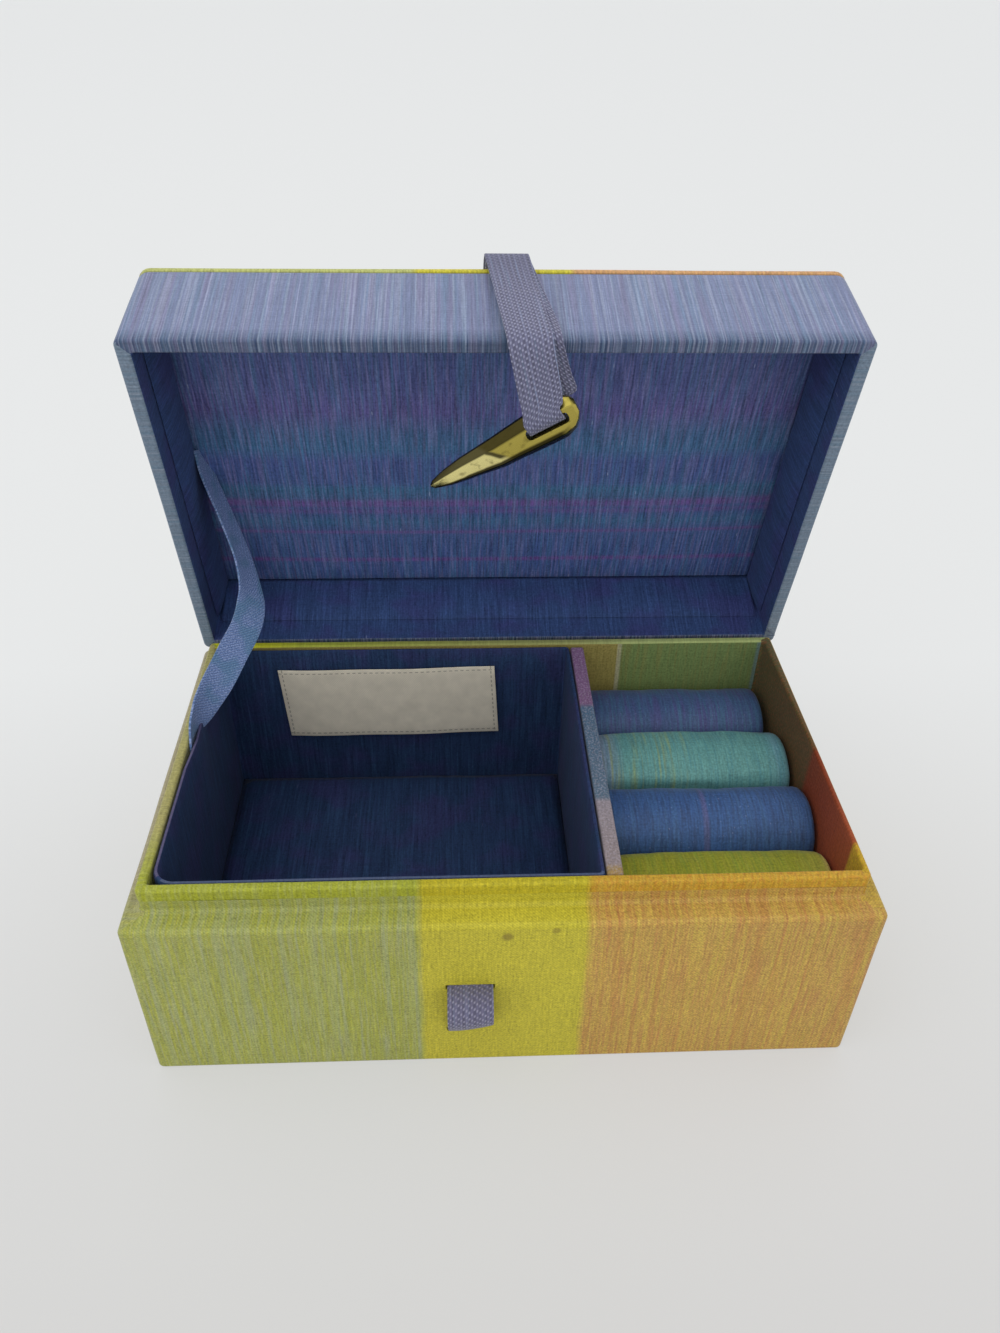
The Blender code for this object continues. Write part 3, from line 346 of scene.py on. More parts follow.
def swell(piece, most, width):
    """Lets a stuffed piece swell as cloth under pressure, so that it wrinkles. No point moves further than
    most along or upwards, and its sides stay within its width, where the next roll stops it."""
    before = [vert.co.copy() for vert in piece.data.vertices]
    middle = sum((place.y for place in before)) / len(before)
    cloth = piece.modifiers.new("stuffing", "CLOTH")
    cloth.settings.quality = 6
    cloth.settings.mass = 0.02
    cloth.settings.tension_stiffness = 6.0
    cloth.settings.compression_stiffness = 6.0
    cloth.settings.bending_stiffness = 0.05
    cloth.settings.use_pressure = True
    cloth.settings.uniform_pressure_force = 4.0
    cloth.settings.effector_weights.gravity = 0.0
    for step in range(1, 21):
        bpy.context.scene.frame_set(step)
    graph = bpy.context.evaluated_depsgraph_get()
    after = [vert.co.copy() for vert in piece.evaluated_get(graph).data.vertices]
    piece.modifiers.clear()
    bpy.context.scene.frame_set(1)
    for vert, first, last in zip(piece.data.vertices, before, after):
        step = last - first
        if step.length > most * MM:
            step = step.normalized() * most * MM
        vert.co = first + step
        vert.co.y = middle + max(-width / 2 * MM, min(width / 2 * MM, vert.co.y - middle))


def sit(piece, body, slot, *nodes):
    """The piece rides on a body and stands for these nodes. The slot is not used."""
    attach(piece, body)
    if nodes:
        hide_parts(*nodes)


def cross(piece, nodes):
    """The piece is cloth that crosses a joint between two bodies, and stands for these nodes."""
    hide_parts(*nodes)
    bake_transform(piece)


# Materials


def hex_colour(code):
    """An sRGB hex colour as linear RGBA."""
    channels = [int(code[i : i + 2], 16) / 255 for i in (1, 3, 5)]
    return (*(c / 12.92 if c <= 0.04045 else ((c + 0.055) / 1.055) ** 2.4 for c in channels), 1.0)


def add(tree, kind, inputs=None, take=0, **settings):
    """Adds a node, sets its options, sets or links its inputs, and gives back one of its outputs."""
    node = tree.nodes.new("ShaderNode" + kind)
    for option, value in settings.items():
        setattr(node, option, value)
    for socket, value in (inputs or {}).items():
        if isinstance(value, bpy.types.NodeSocket):
            tree.links.new(value, node.inputs[socket])
        else:
            node.inputs[socket].default_value = value
    return node.outputs[take]


# A Mix of colours has its share at socket 0 and its colours at 6 and 7. A Map Range reads its value at 0,
# between the values at 1 and 2, and gives what lies between those at 3 and 4.
COLOURS = {"take": 2, "data_type": "RGBA"}


def new_finish(name, roughness, **sockets):
    """An empty finish with its shader. Values that are the same all over sit on the shader's own sockets."""
    made = bpy.data.materials.new(name)
    made.use_nodes = True
    shader = made.node_tree.nodes["Principled BSDF"]
    shader.inputs["Roughness"].default_value = roughness
    for socket, value in sockets.items():
        shader.inputs[socket.replace("_", " ")].default_value = value
    return made, made.node_tree, shader


def cloth_map(tree):
    """The piece's own map in millimetres, and the places across and along it."""
    cloth = add(tree, "UVMap", uv_map="cloth")
    across = add(tree, "SeparateXYZ", {0: cloth})
    return cloth, across, across.node.outputs["Y"]


def drawn_noise(tree, cloth, wide, long, shift=(0, 0), detail=2.0, roughness=0.5):
    """Noise drawn out along the cloth, as specks so wide and so long."""
    place = add(tree, "Mapping", {0: cloth, 1: (*shift, 0), 3: (1 / wide, 1 / long, 1)})
    return add(tree, "TexNoise", {"Vector": place, "Scale": 1.0, "Detail": detail, "Roughness": roughness})


def ridges(tree, place, spacing):
    """Even ridges between -1 and 1, this far apart."""
    turns = add(tree, "Math", {0: place, 1: 2 * math.pi / spacing}, operation="MULTIPLY")
    return add(tree, "Math", {0: turns}, operation="SINE")


def paint_stops(tree, place, stops):
    """One colour all over, or colours that follow a place by (millimetres, colour) stops."""
    if isinstance(stops, str):
        paint = add(tree, "RGB")
        paint.default_value = hex_colour(stops)
        return paint
    low = stops[0][0]
    high = stops[-1][0]
    share = add(tree, "MapRange", {0: place, 1: low, 2: high})
    paint = add(tree, "ValToRGB", {0: share})
    ramp = paint.node.color_ramp.elements
    ramp.remove(ramp[-1])
    for number, (spot, code) in enumerate(stops):
        share = (spot - low) / (high - low)
        stop = ramp.new(share) if number else ramp[0]
        stop.position = share
        stop.color = hex_colour(code)
    return paint


def link_face(tree, shader, colour, height, strength, depth):
    """Links a finish's colour and its relief, whose depth is in millimetres."""
    tree.links.new(colour, shader.inputs["Base Color"])
    relief = add(tree, "Bump", {"Strength": strength, "Distance": depth * MM, "Height": height})
    tree.links.new(relief, shader.inputs["Normal"])


# Thread layers of a slubby silk: spacing, length and depth of each, in millimetres and shares of the tone.
# The real thread is about 0.15 mm; the finest layers are drawn at 0.3 to 0.5 mm, so that they show.
WARP = (0.75, 24.0, 0.15)
HAIR = (0.3, 7.0, 0.14)
WEFT = (12.0, 0.45, 0.07)
DOTS = (0.45, 0.45, 0.12)
CLOUD = (22.0, 30.0, 0.05)
THREADS = (WARP, HAIR, WEFT, DOTS, CLOUD)
GRAINY = ((0.5, 9.0, 0.11), (0.35, 3.0, 0.13), (0.55, 0.55, 0.24), WEFT, CLOUD)
LINED = ((0.6, 24.0, 0.22), (0.4, 9.0, 0.22), (0.4, 1.2, 0.2), WEFT, (0.5, 0.5, 0.18))


def silk(
    name,
    grounds,
    across=True,
    threads=THREADS,
    tints=(),
    slub=None,
    stains=(),
    twill=0.0,
    wave=0.0,
    shine=0.28,
):
    """Hand-woven slubby silk glued over board. Its uneven threads show as fine streaks of light and dark
    along the warp, crossed by fainter ones, with a soft sheen. grounds is one colour, or (millimetres,
    colour) stops across the warp or along it. Each tint is a colour or stops, its threads' spacing and
    length, and its most share. A stain is its place, its radius, its colour and its strength, and slub is the
    colour of thick pale specks, their width and length, the tone that they begin at and their strength."""
    made, tree, shader = new_finish(
        name, 0.55, Specular_IOR_Level=shine, Sheen_Weight=0.36 * shine, Sheen_Roughness=0.4
    )
    cloth, place_across, place_along = cloth_map(tree)
    place = place_across if across else place_along
    if wave:
        # Where two colours meet, the threads' ends make an uneven line.
        sway = drawn_noise(tree, cloth, 30, 7, (41, 7), 3.0)
        place = add(tree, "Math", {0: sway, 1: 4 * wave, 2: place}, operation="MULTIPLY_ADD")
        place = add(tree, "Math", {0: place, 1: 2 * wave}, operation="SUBTRACT")
    colour = paint_stops(tree, place, grounds)
    for index, (stops, wide, long, most) in enumerate(tints, 1):
        paint = paint_stops(tree, place, stops)
        mask = drawn_noise(tree, cloth, wide, long, (53 + 7 * index, 11 * index))
        mask = add(tree, "MapRange", {0: mask, 1: 0.47, 2: 0.62, 4: most})
        colour = add(tree, "Mix", {0: mask, 6: colour, 7: paint}, **COLOURS)
    tone = 1.0 - sum(2 * depth for _, _, depth in threads)
    height = 0.0
    for index, (wide, long, depth) in enumerate(threads):
        value = drawn_noise(tree, cloth, wide, long, (3 + 8.1 * index, 5.1 * index), 1.5, 0.6)
        tone = add(tree, "Math", {0: value, 1: 4 * depth, 2: tone}, operation="MULTIPLY_ADD")
        if min(wide, long) < 1.5:
            height = add(tree, "Math", {0: value, 1: height}, operation="ADD")
    if twill:
        # The ground weave slants. Its lines are 0.25 mm apart in reality. They are drawn 0.5 mm apart,
        # which is 0.7 mm along the weft.
        slant = add(tree, "Math", {0: place_across, 1: place_along}, operation="ADD")
        slant = ridges(tree, slant, 0.7)
        tone = add(tree, "Math", {0: slant, 1: twill, 2: tone}, operation="MULTIPLY_ADD")
    colour = add(tree, "VectorMath", {0: colour, "Scale": tone}, operation="SCALE")
    for spot_x, spot_y, radius, code, amount in stains:
        spot = (spot_x, spot_y, 0)
        mask = add(tree, "VectorMath", {0: cloth, 1: spot}, take="Value", operation="DISTANCE")
        mask = add(tree, "MapRange", {0: mask, 1: 0.5 * radius, 2: radius, 3: amount, 4: 0.0})
        colour = add(tree, "Mix", {0: mask, 6: colour, 7: hex_colour(code)}, **COLOURS)
    if slub:
        code, wide, long, edge, amount = slub
        mask = drawn_noise(tree, cloth, wide, long, (83, 31), 0.0)
        mask = add(tree, "MapRange", {0: mask, 1: edge, 2: edge + 0.05, 4: amount})
        colour = add(tree, "Mix", {0: mask, 6: colour, 7: hex_colour(code)}, **COLOURS)
    link_face(tree, shader, colour, height, 0.35, 0.12)
    return made


def tape_cotton(name, ground, pale, cool, dots_from):
    """Narrow woven tape. Its lengthwise ribs show, and the pale picks between them as dots in slanting rows.
    Real ribs are 0.6 mm apart and are drawn at 1.1 mm. Matt cotton with a dry, slightly fuzzy face. The dots
    grow stronger over 16 mm of its length."""
    made, tree, shader = new_finish(name, 0.8, Specular_IOR_Level=0.2, Sheen_Weight=0.2, Sheen_Roughness=0.5)
    cloth, across, along = cloth_map(tree)
    ribs = ridges(tree, across, 1.1)
    lean = add(tree, "Math", {0: across, 1: 0.5, 2: along}, operation="MULTIPLY_ADD")
    picks = ridges(tree, lean, 1.2)
    dots = add(tree, "Math", {0: ribs, 1: picks}, operation="MULTIPLY")
    fuzz = add(tree, "TexNoise", {"Vector": cloth, "Scale": 3.4, "Detail": 2.0})
    streak = drawn_noise(tree, cloth, 5 / 9, 50 / 3)
    mask = add(tree, "MapRange", {0: dots, 1: 0.1, 2: 0.8, 4: 1.5})
    mask = add(tree, "Math", {0: mask, 1: fuzz}, operation="MULTIPLY")
    fade = add(tree, "MapRange", {0: along, 1: dots_from, 2: dots_from + 16.0, 3: 0.1, 4: 0.9})
    mask = add(tree, "Math", {0: mask, 1: fade}, operation="MULTIPLY", use_clamp=True)
    grain = add(tree, "MapRange", {0: ribs, 1: -1.0, 2: 1.0, 3: 0.78, 4: 1.14})
    tone = add(tree, "MapRange", {0: streak, 1: 0.25, 2: 0.75, 3: 0.8, 4: 1.2})
    tone = add(tree, "Math", {0: tone, 1: grain}, operation="MULTIPLY")
    blue = add(tree, "MapRange", {0: streak, 1: 0.55, 2: 0.7, 4: 0.5})
    colour = add(tree, "Mix", {0: blue, 6: hex_colour(ground), 7: hex_colour(cool)}, **COLOURS)
    colour = add(tree, "VectorMath", {0: colour, "Scale": tone}, operation="SCALE")
    colour = add(tree, "Mix", {0: mask, 6: colour, 7: hex_colour(pale)}, **COLOURS)
    height = add(tree, "Math", {0: dots, 1: ribs}, operation="ADD")
    link_face(tree, shader, colour, height, 0.6, 0.12)
    return made


def twill_ribbon(name, ground, pale, deep):
    """Twill-woven silk ribbon. Fine slanting lines, 0.3 mm apart and drawn at 0.6 mm, with flecks of a paler
    thread and deeper patches."""
    made, tree, shader = new_finish(
        name, 0.55, Specular_IOR_Level=0.3, Sheen_Weight=0.2, Sheen_Roughness=0.35
    )
    cloth, across, along = cloth_map(tree)
    slant = add(tree, "Math", {0: across, 1: along}, operation="ADD")
    slant = ridges(tree, slant, 0.85)
    flecks = add(tree, "TexNoise", {"Vector": cloth, "Scale": 2.8, "Detail": 2.0, "Roughness": 0.8})
    broad = add(tree, "TexNoise", {"Vector": cloth, "Scale": 0.16, "Detail": 1.0})
    mask = add(tree, "MapRange", {0: flecks, 1: 0.46, 2: 0.6})
    colour = add(tree, "Mix", {0: mask, 6: hex_colour(ground), 7: hex_colour(pale)}, **COLOURS)
    mask = add(tree, "MapRange", {0: broad, 1: 0.48, 2: 0.62, 4: 0.5})
    colour = add(tree, "Mix", {0: mask, 6: colour, 7: hex_colour(deep)}, **COLOURS)
    tone = add(tree, "MapRange", {0: slant, 1: -1.0, 2: 1.0, 3: 0.78, 4: 1.2})
    colour = add(tree, "VectorMath", {0: colour, "Scale": tone}, operation="SCALE")
    link_face(tree, shader, colour, slant, 0.3, 0.08)
    return made


def label_cloth(name, ground, stitch):
    """Taffeta-woven cotton label, left bare. A close even weave, 0.2 mm in reality and drawn at 0.6 mm, with
    a row of small stitches a millimetre inside each edge."""
    made, tree, shader = new_finish(
        name, 0.85, Specular_IOR_Level=0.2, Sheen_Weight=0.15, Sheen_Roughness=0.5
    )
    cloth, across, along = cloth_map(tree)
    weave = 1.0
    stitches = 0.0
    half_height = LABEL_HEIGHT / 2
    half_length = LABEL_LENGTH / 2
    edges = ((across, along, 0.0, half_height), (along, across, half_length, half_length))
    for place, other, middle, half in edges:
        lines = ridges(tree, place, 0.6)
        weave = add(tree, "Math", {0: lines, 1: weave}, operation="MULTIPLY")
        inside = add(tree, "Math", {0: place, 1: middle}, operation="SUBTRACT")
        inside = add(tree, "Math", {0: inside}, operation="ABSOLUTE")
        row = add(tree, "Math", {0: inside, 1: half - 1.0, 2: 0.16}, operation="COMPARE")
        dashes = ridges(tree, other, 1.5)
        dashes = add(tree, "Math", {0: dashes, 1: -0.2}, operation="GREATER_THAN")
        row = add(tree, "Math", {0: row, 1: dashes}, operation="MULTIPLY")
        stitches = add(tree, "Math", {0: row, 1: stitches}, operation="MAXIMUM")
    blotch = add(tree, "TexNoise", {"Vector": cloth, "Scale": 0.25, "Detail": 3.0})
    tone = add(tree, "MapRange", {0: weave, 1: -1.0, 2: 1.0, 3: 0.9, 4: 1.06})
    shading = add(tree, "MapRange", {0: blotch, 1: 0.3, 2: 0.7, 3: 0.92, 4: 1.06})
    tone = add(tree, "Math", {0: tone, 1: shading}, operation="MULTIPLY")
    mask = add(tree, "Math", {0: stitches, 1: 0.8}, operation="MULTIPLY")
    colour = add(tree, "Mix", {0: mask, 6: hex_colour(ground), 7: hex_colour(stitch)}, **COLOURS)
    colour = add(tree, "VectorMath", {0: colour, "Scale": tone}, operation="SCALE")
    height = add(tree, "Math", {0: weave, 1: stitches}, operation="SUBTRACT")
    link_face(tree, shader, colour, height, 0.35, 0.08)
    return made


def cast_brass(name):
    """Cast brass, ground to facets and polished by hand. Its reflections are painted into its colour: pale
    yellow on the front facets as a painted reflection of light, and dark olive, a painted reflection of dark
    surroundings, on the bevels, in the fork between the facets and round the slot. The second facet is
    painted a darker olive-gold than the first, also as a painted reflection. Scattered dark spots are
    tarnish, and there are scratches along its length. Its map is millimetres along the tusk, and shares of
    the height there."""
    made, tree, shader = new_finish(name, 0.24, Metallic=1.0)
    cloth, along, rise = cloth_map(tree)
    blots = drawn_noise(tree, cloth, 2, 2 / 7)
    scratches = drawn_noise(tree, cloth, 2, 1 / 14, detail=4.0)
    # Painted reflection: the upper and lower bevels are darkened as if they mirrored dark surroundings. The
    # darkening fades out towards the end block.
    upper = add(tree, "MapRange", {0: rise, 1: 0.72, 2: 0.78})
    body = add(tree, "MapRange", {0: along, 1: 2.0, 2: 4.6, 3: 0.95, 4: 0.1})
    upper = add(tree, "Math", {0: upper, 1: body}, operation="MULTIPLY")
    lower = add(tree, "MapRange", {0: rise, 1: 0.32, 2: 0.26})
    lower = add(tree, "Math", {0: lower, 1: body}, operation="MULTIPLY")
    # Painted reflection: a dark V in the fork between the two front facets, and the second facet a darker
    # olive-gold than the first.
    bend = add(tree, "Math", {0: rise, 1: 7.0, 2: along}, operation="MULTIPLY_ADD")
    fork = add(tree, "Math", {0: bend, 1: -8.4}, operation="SUBTRACT")
    fork = add(tree, "Math", {0: fork}, operation="ABSOLUTE")
    fork = add(tree, "MapRange", {0: fork, 1: 0.35, 2: 1.0, 3: 0.9, 4: 0.0})
    high = add(tree, "MapRange", {0: rise, 1: 0.3, 2: 0.42})
    fork = add(tree, "Math", {0: fork, 1: high}, operation="MULTIPLY")
    olive = add(tree, "MapRange", {0: bend, 1: -8.6, 2: -7.6})
    gold = add(tree, "Mix", {0: olive, 6: hex_colour("#eadf96"), 7: hex_colour("#b5a650")}, **COLOURS)
    mask = add(tree, "Math", {0: upper, 1: lower}, operation="MAXIMUM")
    mask = add(tree, "Math", {0: mask, 1: fork}, operation="MAXIMUM")
    spots = add(tree, "MapRange", {0: blots, 1: 0.56, 2: 0.72, 4: 0.5})
    mask = add(tree, "Math", {0: mask, 1: spots}, operation="MAXIMUM")
    # Pale gold where a painted reflection of light falls, and near-black where a painted reflection of dark
    # falls and on the tarnish spots.
    colour = add(tree, "Mix", {0: mask, 6: gold, 7: hex_colour("#2b2614")}, **COLOURS)
    gloss = add(tree, "MapRange", {0: scratches, 1: 0.3, 2: 0.75, 3: 0.16, 4: 0.36})
    tree.links.new(gloss, shader.inputs["Roughness"])
    link_face(tree, shader, colour, scratches, 0.15, 0.05)
    return made


def pressed_board(name, ground, fibre):
    """Grey pressed board. Matt, with short paper fibres, drawn half a millimetre wide, and a little
    mottling."""
    made, tree, shader = new_finish(name, 0.92, Specular_IOR_Level=0.2)
    place = add(tree, "TexCoord", take="Object")
    fibres = add(tree, "Mapping", {0: place, 3: (2200, 700, 900)})
    fibres = add(tree, "TexNoise", {"Vector": fibres, "Scale": 1.0, "Detail": 3.0})
    mottle = add(tree, "TexNoise", {"Vector": place, "Scale": 90.0, "Detail": 2.0})
    mask = add(tree, "MapRange", {0: fibres, 1: 0.5, 2: 0.66})
    colour = add(tree, "Mix", {0: mask, 6: hex_colour(ground), 7: hex_colour(fibre)}, **COLOURS)
    tone = add(tree, "MapRange", {0: mottle, 1: 0.3, 2: 0.7, 3: 0.93, 4: 1.05})
    colour = add(tree, "VectorMath", {0: colour, "Scale": tone}, operation="SCALE")
    link_face(tree, shader, colour, fibres, 0.3, 0.08)
    return made


def cut_foam(name):
    """Open-cell foam, cut with a wire. Pale, matt and pitted with cells under a millimetre wide."""
    made, tree, shader = new_finish(name, 0.95, Specular_IOR_Level=0.1)
    place = add(tree, "TexCoord", take="Object")
    cells = add(tree, "TexVoronoi", {"Vector": place, "Scale": 1300.0})
    colour = add(tree, "Mix", {0: cells, 6: hex_colour("#b9ae8e"), 7: hex_colour("#ece4cb")}, **COLOURS)
    link_face(tree, shader, colour, cells, 0.6, 0.2)
    return made


def outer_stops(left, green, yellow, tan, right):
    """Stops across the outer silk. It runs on round the corners, half the box's length from the middle."""
    return [
        (-200.0, left),
        (-92.0, left),
        (-77.0, green),
        (-18.6, green),
        (-17.8, yellow),
        (15.6, yellow),
        (16.6, tan),
        (76.0, tan),
        (84.0, right),
        (200.0, right),
    ]


LABEL_LENGTH = 57.0
LABEL_HEIGHT = 22.4

finishes = {
    "outer_silk": silk(
        "slubby_silk_green_yellow_tan",
        outer_stops("#a49b78", "#9ea048", "#bfb434", "#bf9d4d", "#bea442"),
        wave=0.35,
        threads=GRAINY,
        twill=0.08,
        tints=[
            (outer_stops("#b5ac8a", "#b5b028", "#bfb434", "#d6c04a", "#c8a82c"), 0.5, 9.0, 0.28),
            (outer_stops("#8f8a70", "#a7a484", "#bfb434", "#b6744d", "#b08a3c"), 0.5, 12.0, 0.34),
            (outer_stops("#9a9070", "#98a4a0", "#bfb434", "#b05a3c", "#a07a38"), 1.3, 70.0, 0.24),
            (outer_stops("#9a9070", "#b4b43c", "#bfb434", "#ccb848", "#c8a82c"), 1.1, 70.0, 0.3),
            (outer_stops("#9a9070", "#829555", "#b4a72c", "#98553a", "#a07a38"), 0.5, 0.6, 0.34),
        ],
        stains=[(-0.2, 42.9, 1.5, "#80702a", 0.75), (9.6, 44.6, 1.1, "#80702a", 0.55)],
    ),
    "panel_silk": silk(
        "slubby_silk_lid_panel",
        outer_stops("#a49b78", "#b8bc70", "#cfc43a", "#cc9a6a", "#c48a62"),
        wave=0.35,
        threads=GRAINY,
        twill=0.05,
        tints=[(outer_stops("#b5ac8a", "#a9ad58", "#c2b840", "#d9b060", "#c8a82c"), 0.5, 14.0, 0.45)],
    ),
    "neck_silk": silk(
        "slubby_silk_bright_edge",
        outer_stops("#a8a060", "#a2a62e", "#b9aa20", "#c3992b", "#c8a82c"),
        wave=0.35,
        threads=GRAINY,
        twill=0.04,
        tints=[
            (outer_stops("#b4b078", "#abb06c", "#c8ba34", "#cba946", "#c8a82c"), 0.6, 9.0, 0.4),
            (outer_stops("#8f8a50", "#8b9030", "#9c951c", "#ba6e2b", "#b08a3c"), 0.6, 1.6, 0.38),
        ],
    ),
    "back_rim_silk": silk(
        "slubby_silk_back_rim",
        [
            (-75.0, "#c8c820"),
            (-60.0, "#c0c024"),
            (-50.0, "#9aa030"),
            (0.0, "#8f9250"),
            (24.0, "#95985c"),
            (40.0, "#9fab6a"),
        ],
    ),
    "lid_silk": silk(
        "slubby_silk_lavender",
        [(-14.0, "#3a4a64"), (0.4, "#3c4c6c"), (2.4, "#5c6a88"), (4.5, "#7780a0"), (30.0, "#7a83a2")],
        across=False,
        threads=((0.7, 60.0, 0.13), (0.45, 50.0, 0.13), (0.3, 5.0, 0.14), (0.5, 0.5, 0.14), WEFT),
        tints=[("#877a98", 2.2, 60.0, 0.35), ("#6b8aa2", 1.0, 60.0, 0.35), ("#aab2c6", 0.5, 40.0, 0.35)],
    ),
    "lid_side_silk": silk(
        "slubby_silk_grey_blue",
        [(-14.0, "#6f7f90"), (1.0, "#6f7f90"), (30.0, "#76819c")],
        across=False,
        threads=((0.5, 30.0, 0.12), HAIR, (0.6, 0.6, 0.2), WEFT),
        tints=[("#a3abba", 0.6, 30.0, 0.35), ("#5b7a90", 1.2, 40.0, 0.4)],
    ),
    "liner_silk": silk(
        "slubby_silk_deep_blue",
        [
            (-92.0, "#586695"),
            (-74.0, "#5c6a98"),
            (-62.0, "#52659a"),
            (-46.0, "#5c6298"),
            (-40.0, "#645e98"),
            (-34.0, "#4d6c96"),
            (-29.0, "#48749c"),
            (-25.0, "#50619a"),
            (-18.0, "#4f659a"),
            (-16.0, "#45769a"),
            (-13.0, "#4d6c96"),
            (-11.6, "#765c9c"),
            (-10.4, "#735c9c"),
            (-9.6, "#56629a"),
            (-8.4, "#6c5a9a"),
            (-7.2, "#4d659a"),
            (-4.6, "#48749c"),
            (-1.8, "#50659a"),
            (-1.0, "#745a9a"),
            (0.0, "#4d659a"),
            (8.6, "#4a6198"),
            (9.8, "#764e94"),
            (11.0, "#4a6198"),
            (30.0, "#486198"),
        ],
        across=False,
        threads=LINED,
        tints=[("#5580a6", 0.7, 34.0, 0.5), ("#8a84b4", 0.6, 14.0, 0.4), ("#323c60", 0.6, 9.0, 0.35)],
        slub=("#a8b4d0", 0.5, 3.2, 0.86, 0.7),
        shine=0.2,
    ),
    "navy_silk": silk(
        "slubby_silk_navy",
        "#263756",
        threads=LINED,
        tints=[("#304a6c", 0.8, 20.0, 0.4), ("#3a3260", 12.0, 12.0, 0.4)],
        slub=("#55587a", 0.6, 4.0, 0.84, 0.5),
        shine=0.1,
    ),
    "card_silk": silk(
        "slubby_silk_card_navy",
        "#364a74",
        threads=LINED,
        tints=[("#41598a", 0.9, 14.0, 0.5), ("#413a72", 12.0, 12.0, 0.45)],
        slub=("#8592b0", 0.7, 4.0, 0.86, 0.5),
        shine=0.14,
    ),
    "front_fold_silk": silk("slubby_silk_folded_edge", "#46526e"),
    "left_fold_silk": silk("slubby_silk_folded_edge_left", "#544f6e"),
    "divider_silk": silk(
        "slubby_silk_shot_purple_to_tan",
        [
            (-41.0, "#a1824c"),
            (-38.0, "#9b8050"),
            (-36.6, "#908280"),
            (-18.6, "#8e8488"),
            (-17.2, "#546878"),
            (14.0, "#4a657b"),
            (15.4, "#785678"),
            (41.0, "#7a567c"),
        ],
        across=False,
        threads=GRAINY,
        tints=[("#a8a0a8", 0.5, 0.6, 0.4)],
    ),
    "blue_violet_silk": silk(
        "slubby_silk_blue_violet",
        "#3e5278",
        threads=GRAINY,
        tints=[("#52427a", 1.6, 16.0, 0.4), ("#437087", 0.6, 14.0, 0.45)],
        slub=("#7c86a4", 0.5, 0.8, 0.78, 0.35),
    ),
    "teal_silk": silk(
        "slubby_silk_teal",
        [(20.0, "#828ca0"), (27.0, "#7b90a0"), (31.0, "#639790"), (66.0, "#639790"), (70.0, "#6d98a4")],
        threads=GRAINY,
        tints=[
            (
                [
                    (20.0, "#7a8597"),
                    (26.5, "#949c4b"),
                    (45.0, "#949c4b"),
                    (49.0, "#5a8d87"),
                    (72.0, "#5a8d87"),
                ],
                1.4,
                22.0,
                0.5,
            ),
            ("#3d7a87", 0.6, 16.0, 0.4),
        ],
    ),
    "blue_silk": silk(
        "slubby_silk_mid_blue",
        [
            (20.0, "#385684"),
            (46.0, "#3b5a8b"),
            (46.6, "#555a86"),
            (47.2, "#555a86"),
            (47.8, "#3a5a8b"),
            (72.0, "#3a5683"),
        ],
        threads=GRAINY,
        tints=[("#466a92", 0.6, 24.0, 0.4), ("#34405c", 0.6, 7.0, 0.45)],
        slub=("#8c97b2", 0.5, 0.6, 0.78, 0.35),
    ),
    "green_silk": silk(
        "slubby_silk_leaf_green",
        [(20.0, "#91901f"), (64.0, "#929524"), (70.4, "#a9a440"), (71.4, "#ccc066"), (73.0, "#ccc066")],
        threads=GRAINY,
        tints=[("#719034", 0.6, 16.0, 0.4), ("#a8a03c", 0.6, 10.0, 0.35)],
    ),
    "rust_silk": silk(
        "slubby_silk_rust",
        [
            (70.0, "#c8a82c"),
            (82.6, "#c4a02e"),
            (83.6, "#a0502f"),
            (100.0, "#8a3f24"),
            (112.0, "#7c3418"),
            (114.0, "#5c4a2a"),
            (135.0, "#584e2e"),
            (160.0, "#545436"),
        ],
        threads=GRAINY,
        tints=[("#a0543c", 0.5, 0.8, 0.35)],
        shine=0.12,
    ),
    "moss_silk": silk(
        "slubby_silk_moss",
        [
            (20.0, "#958a4c"),
            (32.9, "#958a4c"),
            (33.2, "#aaa684"),
            (34.0, "#a4a37e"),
            (34.3, "#72854e"),
            (70.2, "#6f8350"),
            (70.8, "#6a8078"),
            (75.0, "#6a8078"),
        ],
        threads=GRAINY,
        tints=[("#8c7c44", 0.7, 20.0, 0.3)],
        shine=0.15,
    ),
    "tape_weave": tape_cotton("narrow_woven_tape", "#6b6b84", "#aaabc4", "#70829b", dots_from=20.0),
    "loop_weave": tape_cotton("narrow_woven_tape_loop", "#67647c", "#a09cb0", "#74809a", dots_from=-8.0),
    "ribbon_silk": twill_ribbon("twill_ribbon_silk", "#56709f", "#93a3c9", "#467690"),
    "label_cotton": label_cloth("bare_woven_label", "#ddd4bf", "#958f7e"),
    "brass": cast_brass("cast_brass_polished"),
    "card": pressed_board("grey_pressed_board", "#8d8778", "#a29b8b"),
    "bed_card": pressed_board("covered_bed_card", "#262a30", "#30353c"),
    "foam": cut_foam("wire_cut_foam"),
}


# Base


LOOP_X = -7.8
LOOP_TOP = 26.9
LOOP_FOOT = 12.9
LOOP_SKEW = math.radians(12.0)


